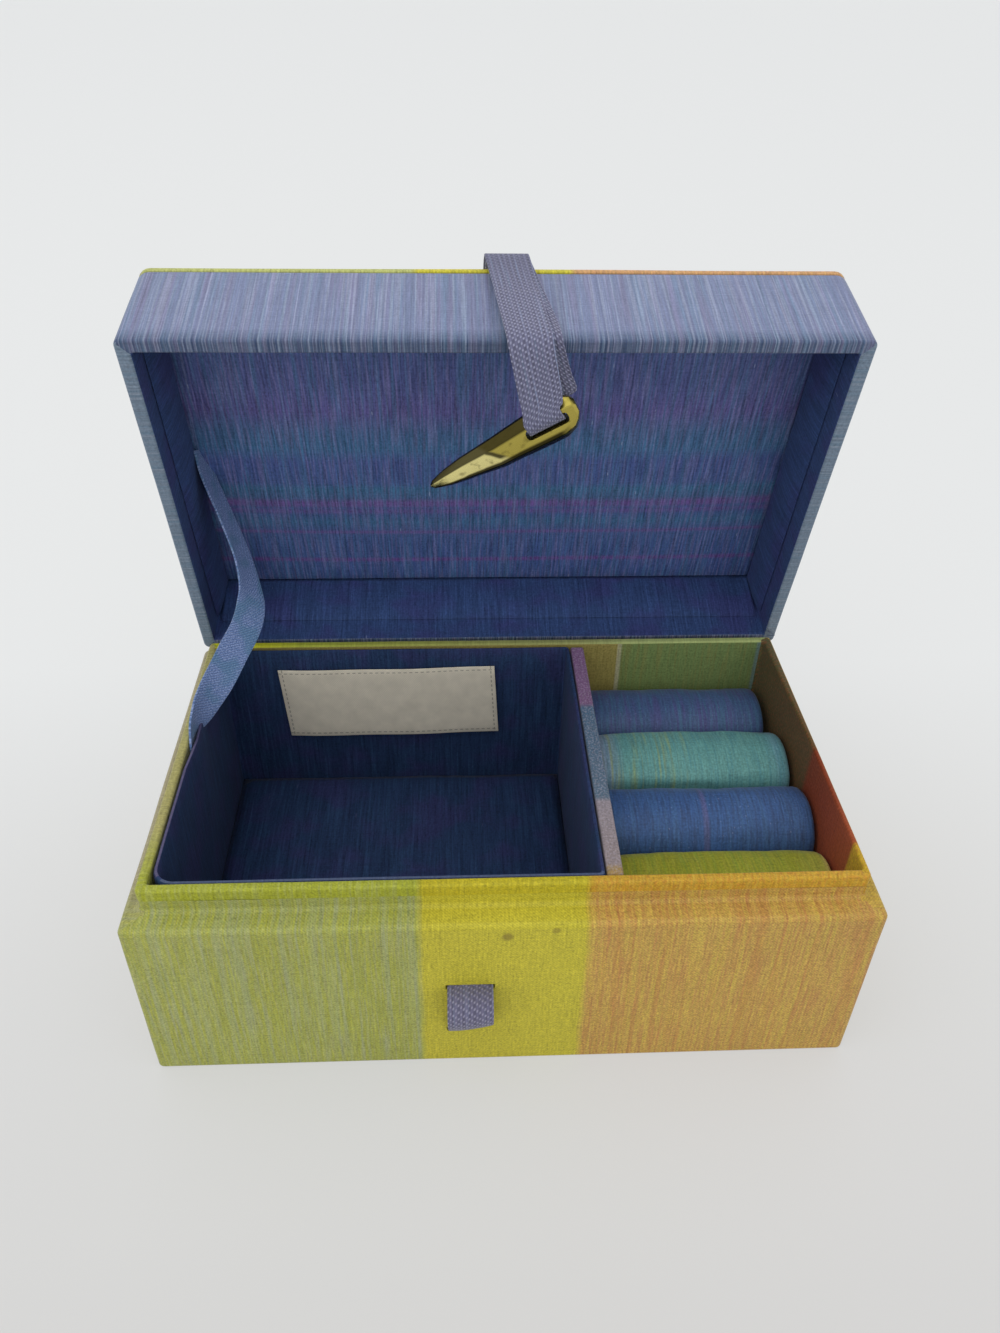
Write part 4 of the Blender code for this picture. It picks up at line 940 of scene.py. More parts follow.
def make_tray():
    """The tray: silk drawn up its walls, over the edge, across the ledge and a little way up the neck."""
    recess = 2.7
    levels = [(HALF_X - recess, HALF_Y - recess, 1.0, z) for z in (1.0, 0.0)]
    levels += rolled_edge(HALF_X, HALF_Y, CORNER, 0.0, 0.5, 90, 0, under=True)
    levels += [(HALF_X, HALF_Y, CORNER, z) for z in (9.0, 18.0, 27.0, 36.0)]
    levels += rolled_edge(HALF_X, HALF_Y, CORNER, JOINT, 1.2, 0, 90, steps=6)
    ledge = JOINT - 0.1
    levels.append((HALF_X - 1.6, HALF_Y - 2.3, CORNER, ledge))
    hollow = 1.2
    gap = 0.05
    turns = [QUARTER * step / 5 for step in range(6)]
    inner = [(gap + hollow * (1 - math.sin(turn)), ledge + hollow * (1 - math.cos(turn))) for turn in turns]
    for grow, z in (*inner, (gap, 49.2), (0.02, 49.3), (0.02, 3.6)):
        levels.append((NECK_X + grow, NECK_Y + grow, NECK_CORNER + grow, z))
    bm = ring_stack(levels)
    lay_cloth(bm, walls=(HALF_X, HALF_Y, 0.0, 1))
    # The front wall bows outwards a little.
    bow = 0.25
    for vert in bm.verts:
        if vert.co.y < 2.6 - HALF_Y:
            vert.co.y -= bow * (1 - (vert.co.x / HALF_X) ** 2) * min(1.0, vert.co.z / 15)
    unsettle(bm, 0.12, 4.0, above=1.0)
    tray = finish_piece("tray_cover", bm, "outer_silk")
    size = Matrix.Diagonal((10.4 * MM, 5.8 * MM, 1.5 * MM, 1))
    for height, skew in ((LOOP_TOP, 0.0), (LOOP_FOOT, LOOP_SKEW)):
        spot = Matrix.Translation(Vector((LOOP_X, -HALF_Y, height)) * MM)
        slit = bmesh.new()
        bmesh.ops.create_cube(slit, size=1, matrix=spot @ Matrix.Rotation(-skew, 4, "Y") @ size)
        cutter = link_mesh("slit", slit)
        cut(tray, cutter)
        settle(tray)
        bpy.data.objects.remove(cutter)
    even_shading(tray)
    sit(tray, "base", "outer_silk", "base_tray")


# How much thinner the board at the neck's right gets towards the front.
THINNER = 0.9


def make_neck():
    """The neck: a board band whose bright silk is wrapped over its top edge and ends part way down."""
    levels = [(NECK_X - 0.05, NECK_Y - 0.05, NECK_CORNER - 0.05, z) for z in (FLOOR, 49.3)]
    levels.append((NECK_X + 0.06, NECK_Y + 0.08, NECK_CORNER, 49.4))
    levels += rolled_edge(NECK_X + 0.1, NECK_Y + 0.12, NECK_CORNER, NECK_TOP, 0.7, 0, 85)
    levels += rolled_edge(NECK_INSIDE_X, NECK_INSIDE_Y, 0.7, NECK_TOP, 0.6, 85, 0, inner=True)
    levels += [(NECK_INSIDE_X, NECK_INSIDE_Y, 0.7, z) for z in (43.0, 33.0, 23.0, 13.0, FLOOR)]
    bm = ring_stack(levels, closed=True)
    lay_cloth(bm, walls=(NECK_X, NECK_Y, 0.0, 1))
    cloth = bm.loops.layers.uv["cloth"]
    for face in bm.faces:
        x, y, z = face.calc_center_median()
        right_wall = NECK_INSIDE_X - 0.6 < x < NECK_X - 0.2 and abs(y) < NECK_Y - 1.0
        inside = abs(x) < NECK_INSIDE_X + 0.3 and abs(y) < NECK_INSIDE_Y + 0.3 and z < NECK_TOP - 0.4
        back_rim = abs(x) < NECK_INSIDE_X + 0.4 and y > NECK_INSIDE_Y - 0.5 and z > NECK_TOP - 1.3
        if right_wall:
            face.material_index = 1
            for loop in face.loops:
                point = loop.vert.co
                loop[cloth].uv = (NECK_X + NECK_Y + point.y, point.z + NECK_X - abs(point.x))
        elif inside and y > 0:
            face.material_index = 2
        elif back_rim:
            face.material_index = 3
    for vert in bm.verts:
        if NECK_INSIDE_X - 0.8 < vert.co.x < NECK_INSIDE_X + 1.2 and vert.co.z > FLOOR + 0.6:
            share = max(0.0, min(1.0, (38.0 - vert.co.y) / 38.0))
            vert.co.x += THINNER * share * min(1.0, (NECK_X + 0.1 - vert.co.x) / 2.0)
    unsettle(bm, 0.08, 9.0)
    neck = finish_piece("neck_cover", bm, ("neck_silk", "rust_silk", "moss_silk", "back_rim_silk"))
    even_shading(neck)
    sit(neck, "base", "neck_silk", "neck_frame")


def make_divider():
    """The divider: a thin board, silk drawn down over its rounded ends."""
    bm = bmesh.new()
    place = Matrix.Translation((22.0, 0.0, 27.8)) @ Matrix.Diagonal((3.4, 79.4, 47.8, 1))
    bmesh.ops.create_cube(bm, size=1, matrix=place)
    for offset, segments, ends in ((1.2, 4, True), (0.5, 3, False)):
        top = [edge for edge in bm.edges if min(vert.co.z for vert in edge.verts) > 40]
        picked = [edge for edge in top if (abs(edge.verts[0].co.x - edge.verts[1].co.x) > 1) == ends]
        round_edges(bm, picked, offset, segments)
    layer = bm.loops.layers.uv.new("cloth")
    for face in bm.faces:
        for loop in face.loops:
            point = loop.vert.co
            loop[layer].uv = (point.x - point.z, point.y)
    divider = finish_piece("divider_cover", bm, "divider_silk")
    even_shading(divider)
    sit(divider, "base", "divider_silk", "divider")


# The middle of the well, and half the size of the card band that lines it.
WELL_X = -25.9
WELL_Y = -0.2
LINER_X = 45.95
LINER_Y = 39.7


def make_well_liner():
    """The well's lining: a card band covered in navy silk, with a thin folded top edge."""
    # How far in each level lies, its corner radius, its height, and the front left corner's radius.
    shape = [(0.0, 0.8, FLOOR, 4.5), (0.0, 0.8, 50.6, 4.5), (0.1, 0.8, 51.3, 4.4), (0.3, 0.8, 51.65, 4.3)]
    shape += [(0.55, 0.7, 51.8, 4.1), (0.85, 0.6, 51.7, 3.9), (1.0, 0.5, 51.3, 3.8)]
    shape += [(1.0, 0.5, z, 3.8) for z in (44.0, 35.0, 25.0, 15.0, FLOOR)]
    levels = [(LINER_X - inset, LINER_Y - inset, *rest) for inset, *rest in shape]
    bm = ring_stack(levels, (WELL_X, WELL_Y), closed=True)
    layer = bm.loops.layers.uv.new("cloth")
    bm.normal_update()
    for face in bm.faces:
        middle = face.calc_center_median()
        side = abs(face.normal.x) > abs(face.normal.y)
        if middle.z > 51.6 and middle.x < WELL_X - LINER_X + 1.55:
            face.material_index = 2
        elif middle.z > 51.6 and middle.y < WELL_Y - LINER_Y + 1.5:
            face.material_index = 1
        for loop in face.loops:
            point = loop.vert.co
            loop[layer].uv = (point.y if side else point.x, point.z)
    for vert in bm.verts:
        # The card springs a little inwards along its free top edge, and is dented where the ribbon is tucked
        # in.
        share = (vert.co.x - WELL_X) / LINER_X
        rise = max(0.0, (vert.co.z - 20.0) / 32.0)
        if abs(vert.co.y) > 38 and abs(share) < 0.97:
            vert.co.y -= math.copysign(0.1 * rise * (1 - share**2), vert.co.y)
        if vert.co.x < -70:
            vert.co.x += 0.75 * max(0.0, 1 - ((vert.co.y - 5.0) / 9.0) ** 2) * min(1.0, 1.5 * rise)
    unsettle(bm, 0.08, 14.0)
    liner = finish_piece("well_lining", bm, ("navy_silk", "front_fold_silk", "left_fold_silk"))
    sit(liner, "base", "navy_silk", "well_liner")


def make_well_pad():
    """The soft pad on the well's floor: crowned, with its front left corner round like the lining's."""
    bm = bmesh.new()
    bmesh.ops.create_grid(bm, x_segments=34, y_segments=30, size=1.0)
    edges = [edge for edge in bm.edges if edge.is_boundary]
    skirt = bmesh.ops.extrude_edge_only(bm, edges=edges)["geom"]
    foot = {made for made in skirt if isinstance(made, bmesh.types.BMVert)}
    bmesh.ops.contextual_create(bm, geom=[made for made in skirt if isinstance(made, bmesh.types.BMEdge)])
    half_x = LINER_X - 1.2
    half_y = LINER_Y - 1.2
    soft = 3.7
    for vert in bm.verts:
        across, along, _ = vert.co
        x = half_x * across
        y = half_y * along
        out = Vector((min(0.0, x + half_x - soft), min(0.0, y + half_y - soft)))
        if out.x < 0 and out.y < 0 and out.length > soft:
            x = soft * out.normalized().x - half_x + soft
            y = soft * out.normalized().y - half_y + soft
        rim = max(abs(across), abs(along))
        crown = 1.5 * (1 - across**4) * (1 - along**4) - 1.1 * max(0.0, rim - 0.93) / 0.07
        waver = 0.25 * noise.noise(Vector((across * 3, along * 3, 5.0)))
        vert.co = (WELL_X + x, WELL_Y + y, 5.5 if vert in foot else 8.0 + crown + waver)
    bmesh.ops.recalc_face_normals(bm, faces=bm.faces)
    pad = finish_piece("well_floor_pad", bm, "navy_silk", sharp=80)
    sit(pad, "base", "navy_silk", "well_pad")


def make_label():
    """The bare label on the well's back wall: a little bowed, and leaning to the left."""
    left = []
    right = []
    foot = 24.0
    lean = 0.7
    for step in range(25):
        share = 2 * step / 24 - 1
        along = -27.6 + share * LABEL_LENGTH / 2
        bow = 37.65 - 0.5 * (1 - share * share) - 0.12 * math.sin(share * 7)
        left.append(Vector((along + lean, bow, foot + 0.35 * share)))
        right.append(Vector((along - lean, bow + 0.05, foot + LABEL_HEIGHT + 0.35 * share)))
    label = finish_piece("bare_label", woven_band(left, right, rows=10), "label_cotton")
    thicken(label, 0.35, 0.08)
    sit(label, "base", "label_cotton", "blank_label")


# The rolls' own lengths. Each roll's right end and top are its own, from the back one to the front one. The
# shares of its width draw in its round ends.
ROLL_WIDTH = 19.6
ROLL_PITCH = 19.85
ROLL_FOOT = 22.6
ROLL_LEFT = 23.8
ROLL_RIGHT = (70.6, 72.1, 72.6, 72.6)
ROLL_TOPS = (40.9, 42.3, 42.5, 40.8)
ROLL_HALF = 23.75
ROLL_BODY = 21.8
ROLL_END = (
    (ROLL_HALF, 0.03),
    (23.72, 0.35),
    (23.65, 0.65),
    (23.5, 0.84),
    (23.25, 0.92),
    (22.7, 0.97),
    (ROLL_BODY, 1.0),
)


def squared(value):
    """Draws a circle's sine or cosine out towards a square."""
    return math.copysign(abs(value) ** 0.82, value)


def wrap_cloth(bm, start_x, start_along):
    """A roll's map: along it, and round it from its seam at the front."""
    layer = bm.loops.layers.uv.new("cloth")
    for face in bm.faces:
        middle = face.calc_center_median()
        first = math.atan2(middle.z, middle.y)
        for loop in face.loops:
            point = loop.vert.co
            angle = math.atan2(point.z, point.y)
            if angle - first > math.pi:
                angle -= 2 * math.pi
            if first - angle > math.pi:
                angle += 2 * math.pi
            loop[layer].uv = (point.x + start_x, angle * ROLL_WIDTH / 2 + start_along)


def make_rolls():
    """Four stuffed rolls side by side, each fuller in its middle and squared by its neighbours. The outer two
    are pressed a little lower."""
    slots = ("blue_violet_silk", "teal_silk", "blue_silk", "green_silk")
    stations = [(-x, size) for x, size in ROLL_END]
    stations += [(ROLL_BODY * (2 * step / 24 - 1), 1.0) for step in range(1, 24)]
    stations += [(x, size) for x, size in reversed(ROLL_END)]
    for index, (slot, top, right) in enumerate(zip(slots, ROLL_TOPS, ROLL_RIGHT)):
        bm, rings = tube(len(stations), 56)
        rise = (top - ROLL_FOOT) / 2
        centre = (ROLL_LEFT + right) / 2
        stretch = (right - ROLL_LEFT) / (2 * ROLL_HALF)
        for verts, (x, size) in zip(rings, stations):
            fuller = 0.3 * (1 - (x / ROLL_HALF) ** 2)
            for step, vert in enumerate(verts):
                angle = 2 * math.pi * step / len(verts)
                ripple = 0.3 * noise.noise(Vector((x * 0.14, angle * 1.5, 9.0 * index)))
                ripple += 0.14 * noise.noise(Vector((x * 0.45, angle * 4.0, 3.0 + index)))
                y = squared(math.cos(angle)) * ROLL_WIDTH / 2 * size
                z = squared(math.sin(angle)) * (rise - 0.2 + fuller) * size + ripple * size
                vert.co = (x * stretch, y, z)
        bmesh.ops.recalc_face_normals(bm, faces=bm.faces)
        wrap_cloth(bm, centre, 80 * index)
        place = Matrix.Translation((centre, ROLL_PITCH * (1.5 - index), ROLL_FOOT + rise))
        roll = finish_piece(f"stuffed_roll_{index + 1}", bm, slot, place, sharp=80)
        swell(roll, 0.45, ROLL_WIDTH + 0.1)
        sit(roll, "base", slot, f"ring_roll_{index + 1}")


def make_foam():
    """The block of foam that holds the rolls' bed up."""
    block = board((26.1, -37.2, FLOOR + 0.1), (69.7, 37.2, 20.4), 1.2, cuts=3)
    block = finish_piece("foam_block", block, "foam")
    sit(block, "base", "foam", "ring_bed_foam")


TAPE = 0.75


def make_closure_loop():
    """Band of tape that bows out of its two slits and turns in again below."""
    profile = ((-HALF_Y, LOOP_TOP), (-50.4, 26.7), (-52.6, 25.3), (-53.3, 23.2), (-52.9, 21.0), (-51.6, 18.8))
    profile += ((-49.8, 16.0), (-HALF_Y, LOOP_FOOT))
    points = smooth_path([Vector((LOOP_X, y, z)) for y, z in profile], 4)
    inside = 2.6 - HALF_Y
    points = [Vector((LOOP_X, inside, LOOP_TOP)), *points, Vector((LOOP_X, inside, LOOP_FOOT))]
    left = []
    right = []
    for centre in points:
        share = (LOOP_TOP - centre.z) / (LOOP_TOP - LOOP_FOOT)
        skew = LOOP_SKEW * min(1.0, 1.3 * share)
        across = Vector((math.cos(skew), 0, math.sin(skew))) * 4.8
        left.append(centre - across)
        right.append(centre + across)
    loop = finish_piece("closure_band", woven_band(left, right, rows=8, cup=-0.35), "loop_weave")
    thicken(loop, TAPE, 0.2)
    sit(loop, "base", "tape_weave", "closure_loop")


# Lid


# The lid's own sizes, from its rim up: its wall's inside, its round corners, its roof and the panel on it.
LID_CENTRE = (0.0, -HALF_Y)
LID_WALL = 3.1
LID_CORNER = 3.0
RIM = 0.3
ROOF = 26.0
LID_TOP = 27.5


def lid_space(x, y, z):
    """A place given in the closed lid's own lengths, from the hinge."""
    return LID_PLACE @ Vector((x, y, z))


def make_lid_shell():
    """The lid's silk-covered frame and roof."""
    inner_x = HALF_X - LID_WALL
    inner_y = HALF_Y - LID_WALL
    levels = [(inner_x, inner_y, 0.8, z) for z in (23.5, 16.0, 8.0)]
    levels += rolled_edge(inner_x, inner_y, 0.8, RIM, 0.6, 0, 90, inner=True, under=True)
    levels += rolled_edge(HALF_X, HALF_Y, CORNER, RIM, 0.6, 90, 0, under=True)
    for share in (0.15, 0.35, 0.6, 0.85):
        levels.append((HALF_X, HALF_Y, CORNER + (LID_CORNER - CORNER) * share, 1.0 + 24.0 * share))
    levels += rolled_edge(HALF_X, HALF_Y, LID_CORNER, ROOF - 0.3, 0.5, 0, 90, steps=3)
    bm = ring_stack(levels, LID_CENTRE)
    lay_cloth(bm, walls=(HALF_X, HALF_Y, -HALF_Y, -1))
    for face in bm.faces:
        middle = face.calc_center_median()
        from_side = HALF_X - abs(middle.x)
        from_end = HALF_Y - abs(middle.y + HALF_Y)
        if min(from_side, from_end) > LID_WALL - 0.1:
            face.material_index = 2
        elif from_side < from_end:
            face.material_index = 1
    unsettle(bm, 0.08, 19.0)
    shell = finish_piece("lid_cover", bm, ("lid_silk", "lid_side_silk", "card_silk"), LID_PLACE)
    even_shading(shell)
    sit(shell, "lid", "lid_silk", "lid_shell")


def make_lid_panel():
    """The panel on the lid, covered in the striped silk. Its ends show the colours of the tray's ends."""
    levels = rolled_edge(HALF_X, HALF_Y, LID_CORNER, ROOF, 0.4, 90, 0, steps=3, under=True)
    levels += rolled_edge(HALF_X, HALF_Y, LID_CORNER, LID_TOP, 0.6, 0, 90, steps=4)
    bm = ring_stack(levels, LID_CENTRE)
    lay_cloth(bm)
    cloth = bm.loops.layers.uv["cloth"]
    for face in bm.faces:
        if abs(face.normal.x) > 0.7:
            for loop in face.loops:
                loop[cloth].uv.x = math.copysign(120.0, face.normal.x) + loop.vert.co.y
    unsettle(bm, 0.1, 24.0)
    panel = finish_piece("lid_top_cover", bm, "panel_silk", LID_PLACE)
    even_shading(panel)
    sit(panel, "lid", "outer_silk", "lid_panel")


def make_lid_liner():
    """The padded card under the lid's roof, crowned and a little uneven."""
    bm = bmesh.new()
    bmesh.ops.create_cube(bm, size=2)
    divide_long_edges(bm, 0, 1, 27)
    divide_long_edges(bm, 1, 1, 19)
    inset = 3.7
    for vert in bm.verts:
        x, y, side = vert.co
        crown = 0.7 * (1 - x**4) * (1 - y**4) + 0.12 * noise.noise(Vector((x * 2.5, y * 2.0, 2.0)))
        height = 22.0 - crown if side < 0 else 23.2
        vert.co = ((HALF_X - inset) * x, (HALF_Y - inset) * y - HALF_Y, height)
    bmesh.ops.recalc_face_normals(bm, faces=bm.faces)
    round_edges(bm, [edge for edge in bm.edges if edge.calc_face_angle(0.0) > 1.0], 0.4)
    lay_cloth(bm)
    liner = finish_piece("lid_inner_panel", bm, "liner_silk", LID_PLACE, sharp=60)
    sit(liner, "lid", "liner_silk", "lid_top_liner")


def make_lid_cards():
    """The four cards that line the lid's walls. Towards its free edge each runs out to nothing, so that no
    step shows there."""
    foot = 7.0
    top = 20.8
    back_x, face_x, end_x = (HALF_X - inset for inset in (3.4, 4.4, 4.2))
    back_y, face_y, end_y = (HALF_Y - inset for inset in (3.4, 4.4, 4.7))
    cards = (
        ("left", (-back_x, -end_y), (-face_x, end_y)),
        ("right", (face_x, -end_y), (back_x, end_y)),
        ("front", (-end_x, -back_y), (end_x, -face_y)),
        ("back", (-end_x, face_y), (end_x, back_y)),
    )
    wall_x = HALF_X - 3.25
    wall_y = HALF_Y - 3.25
    for side, (low_x, low_y), (high_x, high_y) in cards:
        bm = board((low_x, low_y - HALF_Y, foot), (high_x, high_y - HALF_Y, top), 0.3, cuts=9)
        inward = 1 if side == "front" else -1
        for vert in bm.verts:
            free = (vert.co.z - 5) / 15
            thin = 0.85 * max(0.0, 1 - (vert.co.z - foot) / 8.0) ** 2
            if side in ("left", "right"):
                vert.co.x += (math.copysign(wall_x, vert.co.x) - vert.co.x) * thin
                share = (vert.co.y + HALF_Y) / 43.0
                lean = 0.1 * (1 - share**2) + 0.05 * math.sin(share * 5)
                vert.co.x -= math.copysign(lean * free, vert.co.x)
            else:
                vert.co.y += (-inward * wall_y - HALF_Y - vert.co.y) * thin
                share = vert.co.x / 73.5
                lean = 0.12 * (1 - share**2) + 0.06 * math.sin(share * 6)
                vert.co.y += inward * lean * free
        card = finish_piece(f"lining_card_{side}", bm, "card_silk", LID_PLACE)
        even_shading(card)
        sit(card, "lid", "navy_silk", f"lid_card_{side}")


def make_hinge():
    """Strip of the outer silk across the joint at the back."""
    offset = 0.55
    low = Vector((0, HALF_Y + offset, JOINT - 7.0))
    knee = Vector((0, HALF_Y + offset, JOINT - offset))
    rise = lid_space(0, offset, offset + RIM)
    far = lid_space(0, offset, 7.0 + RIM)
    path = [low, low.lerp(knee, 0.5), knee]
    for step in range(1, 9):
        t = step / 9
        u = 1 - t
        turn = (knee + Vector((0, 0, offset))) * (3 * u * u * t)
        path.append(knee * u**3 + turn + rise * (3 * u * t * t + t**3))
    path += [rise, rise.lerp(far, 0.5), far]
    left = [point + Vector((-73.5, 0, 0)) for point in path]
    right = [point + Vector((73.5, 0, 0)) for point in path]
    strip = finish_piece("hinge_strip", woven_band(left, right, rows=24), "outer_silk")
    thicken(strip, 0.5, 0.1)
    cross(strip, ["hinge_cloth"])


# The slack stay ribbon: the middle of the band at each station, and the way across it.
RIBBON = (
    ((-72.3, 57.8, 99.5), (0.15, 0.93, -0.33)),
    ((-70.8, 55.2, 94.0), (0.2, 0.92, -0.33)),
    ((-66.8, 50.4, 85.0), (0.23, 0.91, -0.33)),
    ((-63.4, 46.4, 76.0), (0.3, 0.88, -0.33)),
    ((-61.7, 42.4, 69.2), (0.5, 0.7, -0.4)),
    ((-61.4, 38.4, 65.6), (0.8, 0.3, -0.5)),
    ((-62.3, 33.4, 62.8), (0.8, -0.1, -0.6)),
    ((-64.6, 27.4, 60.2), (0.76, -0.24, -0.6)),
    ((-66.9, 20.6, 57.6), (0.72, -0.14, -0.66)),
    ((-69.6, 13.6, 55.0), (0.5, 0.3, -0.8)),
    ((-71.2, 8.6, 53.3), (0.2, 0.8, -0.5)),
    ((-71.6, 5.6, 50.6), (0.0, 1.0, -0.2)),
    ((-71.6, 4.9, 46.4), (0.0, 1.0, -0.05)),
)
RIBBON_WIDTH = 7.6


def make_ribbon():
    """It hangs from the lid's corner, turns over at an elbow and is tucked in beside the well."""
    path = smooth_path([Vector(centre) for centre, _ in RIBBON], 6)
    aims = smooth_path([Vector(aim) for _, aim in RIBBON], 6)
    left = []
    right = []
    for index, (centre, aim) in enumerate(zip(path, aims)):
        heading = (path[min(index + 1, len(path) - 1)] - path[max(index - 1, 0)]).normalized()
        across = (aim - heading * aim.dot(heading)).normalized() * (RIBBON_WIDTH / 2)
        left.append(centre - across)
        right.append(centre + across)
    ribbon = finish_piece("stay_band", woven_band(left, right, rows=6, cup=0.2), "ribbon_silk")
    thicken(ribbon, 0.5, 0.1)
    cross(ribbon, ["stay_ribbon"])


# Strap and toggle


def under_bar(y, drop, along=0.0):
    """A place by the toggle's bar: in front of it or behind, so far below it and so far along it."""
    return BAR_PLACE @ Vector((along, y, -drop))


# One run of tape: out of the slit in the lid's top panel, over the front edge, down in front of the toggle's
# bar, round it and back up beneath itself. Each station has its middle, its lean to the bar's tilt, its turn
# and its width.
STRAP = (
    (lid_space(1.7, -82.4, 26.3), 0.0, 0.0, 9.6),
    (lid_space(1.7, -83.4, 29.1), 0.0, 0.0, 9.6),
    (lid_space(1.75, -88.5, 29.8), 0.0, 0.0, 9.6),
    (lid_space(1.85, -94.0, 29.9), 0.0, 0.0, 9.6),
    (lid_space(1.95, -96.6, 29.3), 0.0, 0.0, 9.6),
    (lid_space(2.1, -97.7, 27.6), 0.0, 0.0, 9.6),
    (lid_space(2.8, -97.9, 21.0), 0.0, 0.0, 9.5),
    (lid_space(3.8, -97.95, 12.0), 0.0, 0.0, 9.4),
    (lid_space(4.6, -98.0, 4.5), 0.0, 0.0, 9.3),
    (lid_space(5.3, -97.9, -2.0), 0.0, 0.0, 9.2),
    (Vector((5.75, 19.9, 138.6)), 0.05, 0.02, 9.1),
    (Vector((7.1, 19.2, 132.4)), 0.25, 0.08, 8.9),
    (Vector((8.2, 18.6, 127.0)), 0.65, 0.06, 8.6),
    (under_bar(-3.0, -0.6, 0.2), 0.95, 0.02, 8.2),
    (under_bar(-2.95, 1.0, 0.15), 1.0, 0.0, 8.0),
    (under_bar(-1.7, 2.4, 0.15), 1.0, 0.0, 8.0),
    (under_bar(0.3, 2.8, 0.2), 1.0, 0.0, 8.0),
    (under_bar(2.1, 2.1, 0.4), 1.0, 0.0, 8.0),
    (under_bar(2.95, 0.5, 0.9), 0.95, 0.0, 8.3),
    (Vector((11.3, 24.3, 127.4)), 0.5, 0.06, 9.0),
    (Vector((10.1, 23.9, 131.4)), 0.22, 0.1, 8.9),
    (Vector((8.8, 22.9, 135.4)), 0.12, 0.06, 9.0),
    (Vector((7.8, 22.2, 138.6)), 0.04, 0.0, 9.1),
    (lid_space(7.3, -97.25, -1.0), 0.0, 0.0, 9.2),
    (lid_space(6.6, -97.0, 4.5), 0.0, 0.0, 9.3),
    (lid_space(5.2, -97.05, 12.0), 0.0, 0.0, 9.4),
    (lid_space(3.5, -97.05, 21.0), 0.0, 0.0, 9.5),
    (lid_space(2.4, -96.9, 26.9), 0.0, 0.0, 9.6),
    (lid_space(2.3, -96.2, 28.3), 0.0, 0.0, 9.6),
    (lid_space(2.2, -94.0, 28.95), 0.0, 0.0, 9.6),
    (lid_space(2.1, -88.5, 28.85), 0.0, 0.0, 9.6),
    (lid_space(2.0, -84.4, 28.2), 0.0, 0.0, 9.6),
    (lid_space(2.0, -83.4, 26.3), 0.0, 0.0, 9.6),
)
STRAP_STEPS = 6

# The stations between which the tape's lower part hangs.
UPPER_END = 7
LOWER_END = 25


def strap_edges():
    """The tape's two edges at each step of its run, and the length along it there."""
    path = smooth_path([spot for spot, _, _, _ in STRAP], STRAP_STEPS)
    looks = smooth_path([Vector((lean, turn, width)) for _, lean, turn, width in STRAP], STRAP_STEPS)
    bar_axis = Vector((math.cos(BAR_TILT), 0, math.sin(BAR_TILT)))
    left = []
    right = []
    lengths = [0.0]
    for index, (centre, look) in enumerate(zip(path, looks)):
        level = Vector((math.cos(look.y), math.sin(look.y), 0))
        across = level.lerp(bar_axis, look.x).normalized() * (look.z / 2)
        left.append(centre - across)
        right.append(centre + across)
        if index:
            lengths.append(lengths[-1] + (centre - path[index - 1]).length)
    return left, right, lengths


def make_strap():
    """The run of tape, cut into its upper part, which folds at the lid's edge, and its hanging part."""
    left, right, lengths = strap_edges()
    first = UPPER_END * STRAP_STEPS
    last = LOWER_END * STRAP_STEPS
    band = woven_band(left[: first + 1], right[: first + 1], rows=8)
    take_in(band, woven_band(left[last:], right[last:], rows=8, start=lengths[last]))
    upper = finish_piece("strap_upper_band", band, "tape_weave")
    thicken(upper, TAPE, 0.2)
    nodes = ["strap_root", "strap_fold"]
    cross(upper, nodes)

    # The hanging part starts one step early and a hair further out, so that no seam shows where the two meet.
    lap = LID_PLACE.to_3x3() @ Vector((0, 0.04, 0))
    for row in (left, right):
        for index in (first - 1, first):
            row[index] = row[index] - lap
        for index in (last, last + 1):
            row[index] = row[index] + lap
    hanging = slice(first - 1, last + 2)
    band = woven_band(left[hanging], right[hanging], rows=8, start=lengths[first - 1])
    lower = finish_piece("strap_lower_band", band, "tape_weave")
    thicken(lower, TAPE, 0.2)
    nodes = ["strap_flap", "strap_bend", "strap_tail"]
    cross(lower, nodes)


# The tusk's sections: how far along the bar, its top, its foot and its thickness.
TUSK = (
    (-28.2, -2.9, -3.5, 0.9),
    (-27.4, -2.3, -4.2, 1.7),
    (-24.0, -1.3, -5.2, 2.5),
    (-20.0, -0.6, -5.8, 3.0),
    (-16.0, -0.2, -6.3, 3.5),
    (-12.0, 0.2, -6.9, 3.8),
    (-8.0, 0.7, -6.9, 4.1),
    (-4.0, 1.2, -7.1, 4.2),
    (0.0, 1.3, -7.2, 4.3),
    (3.0, 1.35, -7.2, 4.4),
    (5.4, 1.3, -6.2, 4.2),
    (6.6, 0.6, -4.8, 3.8),
    (7.3, -0.4, -3.4, 3.0),
)


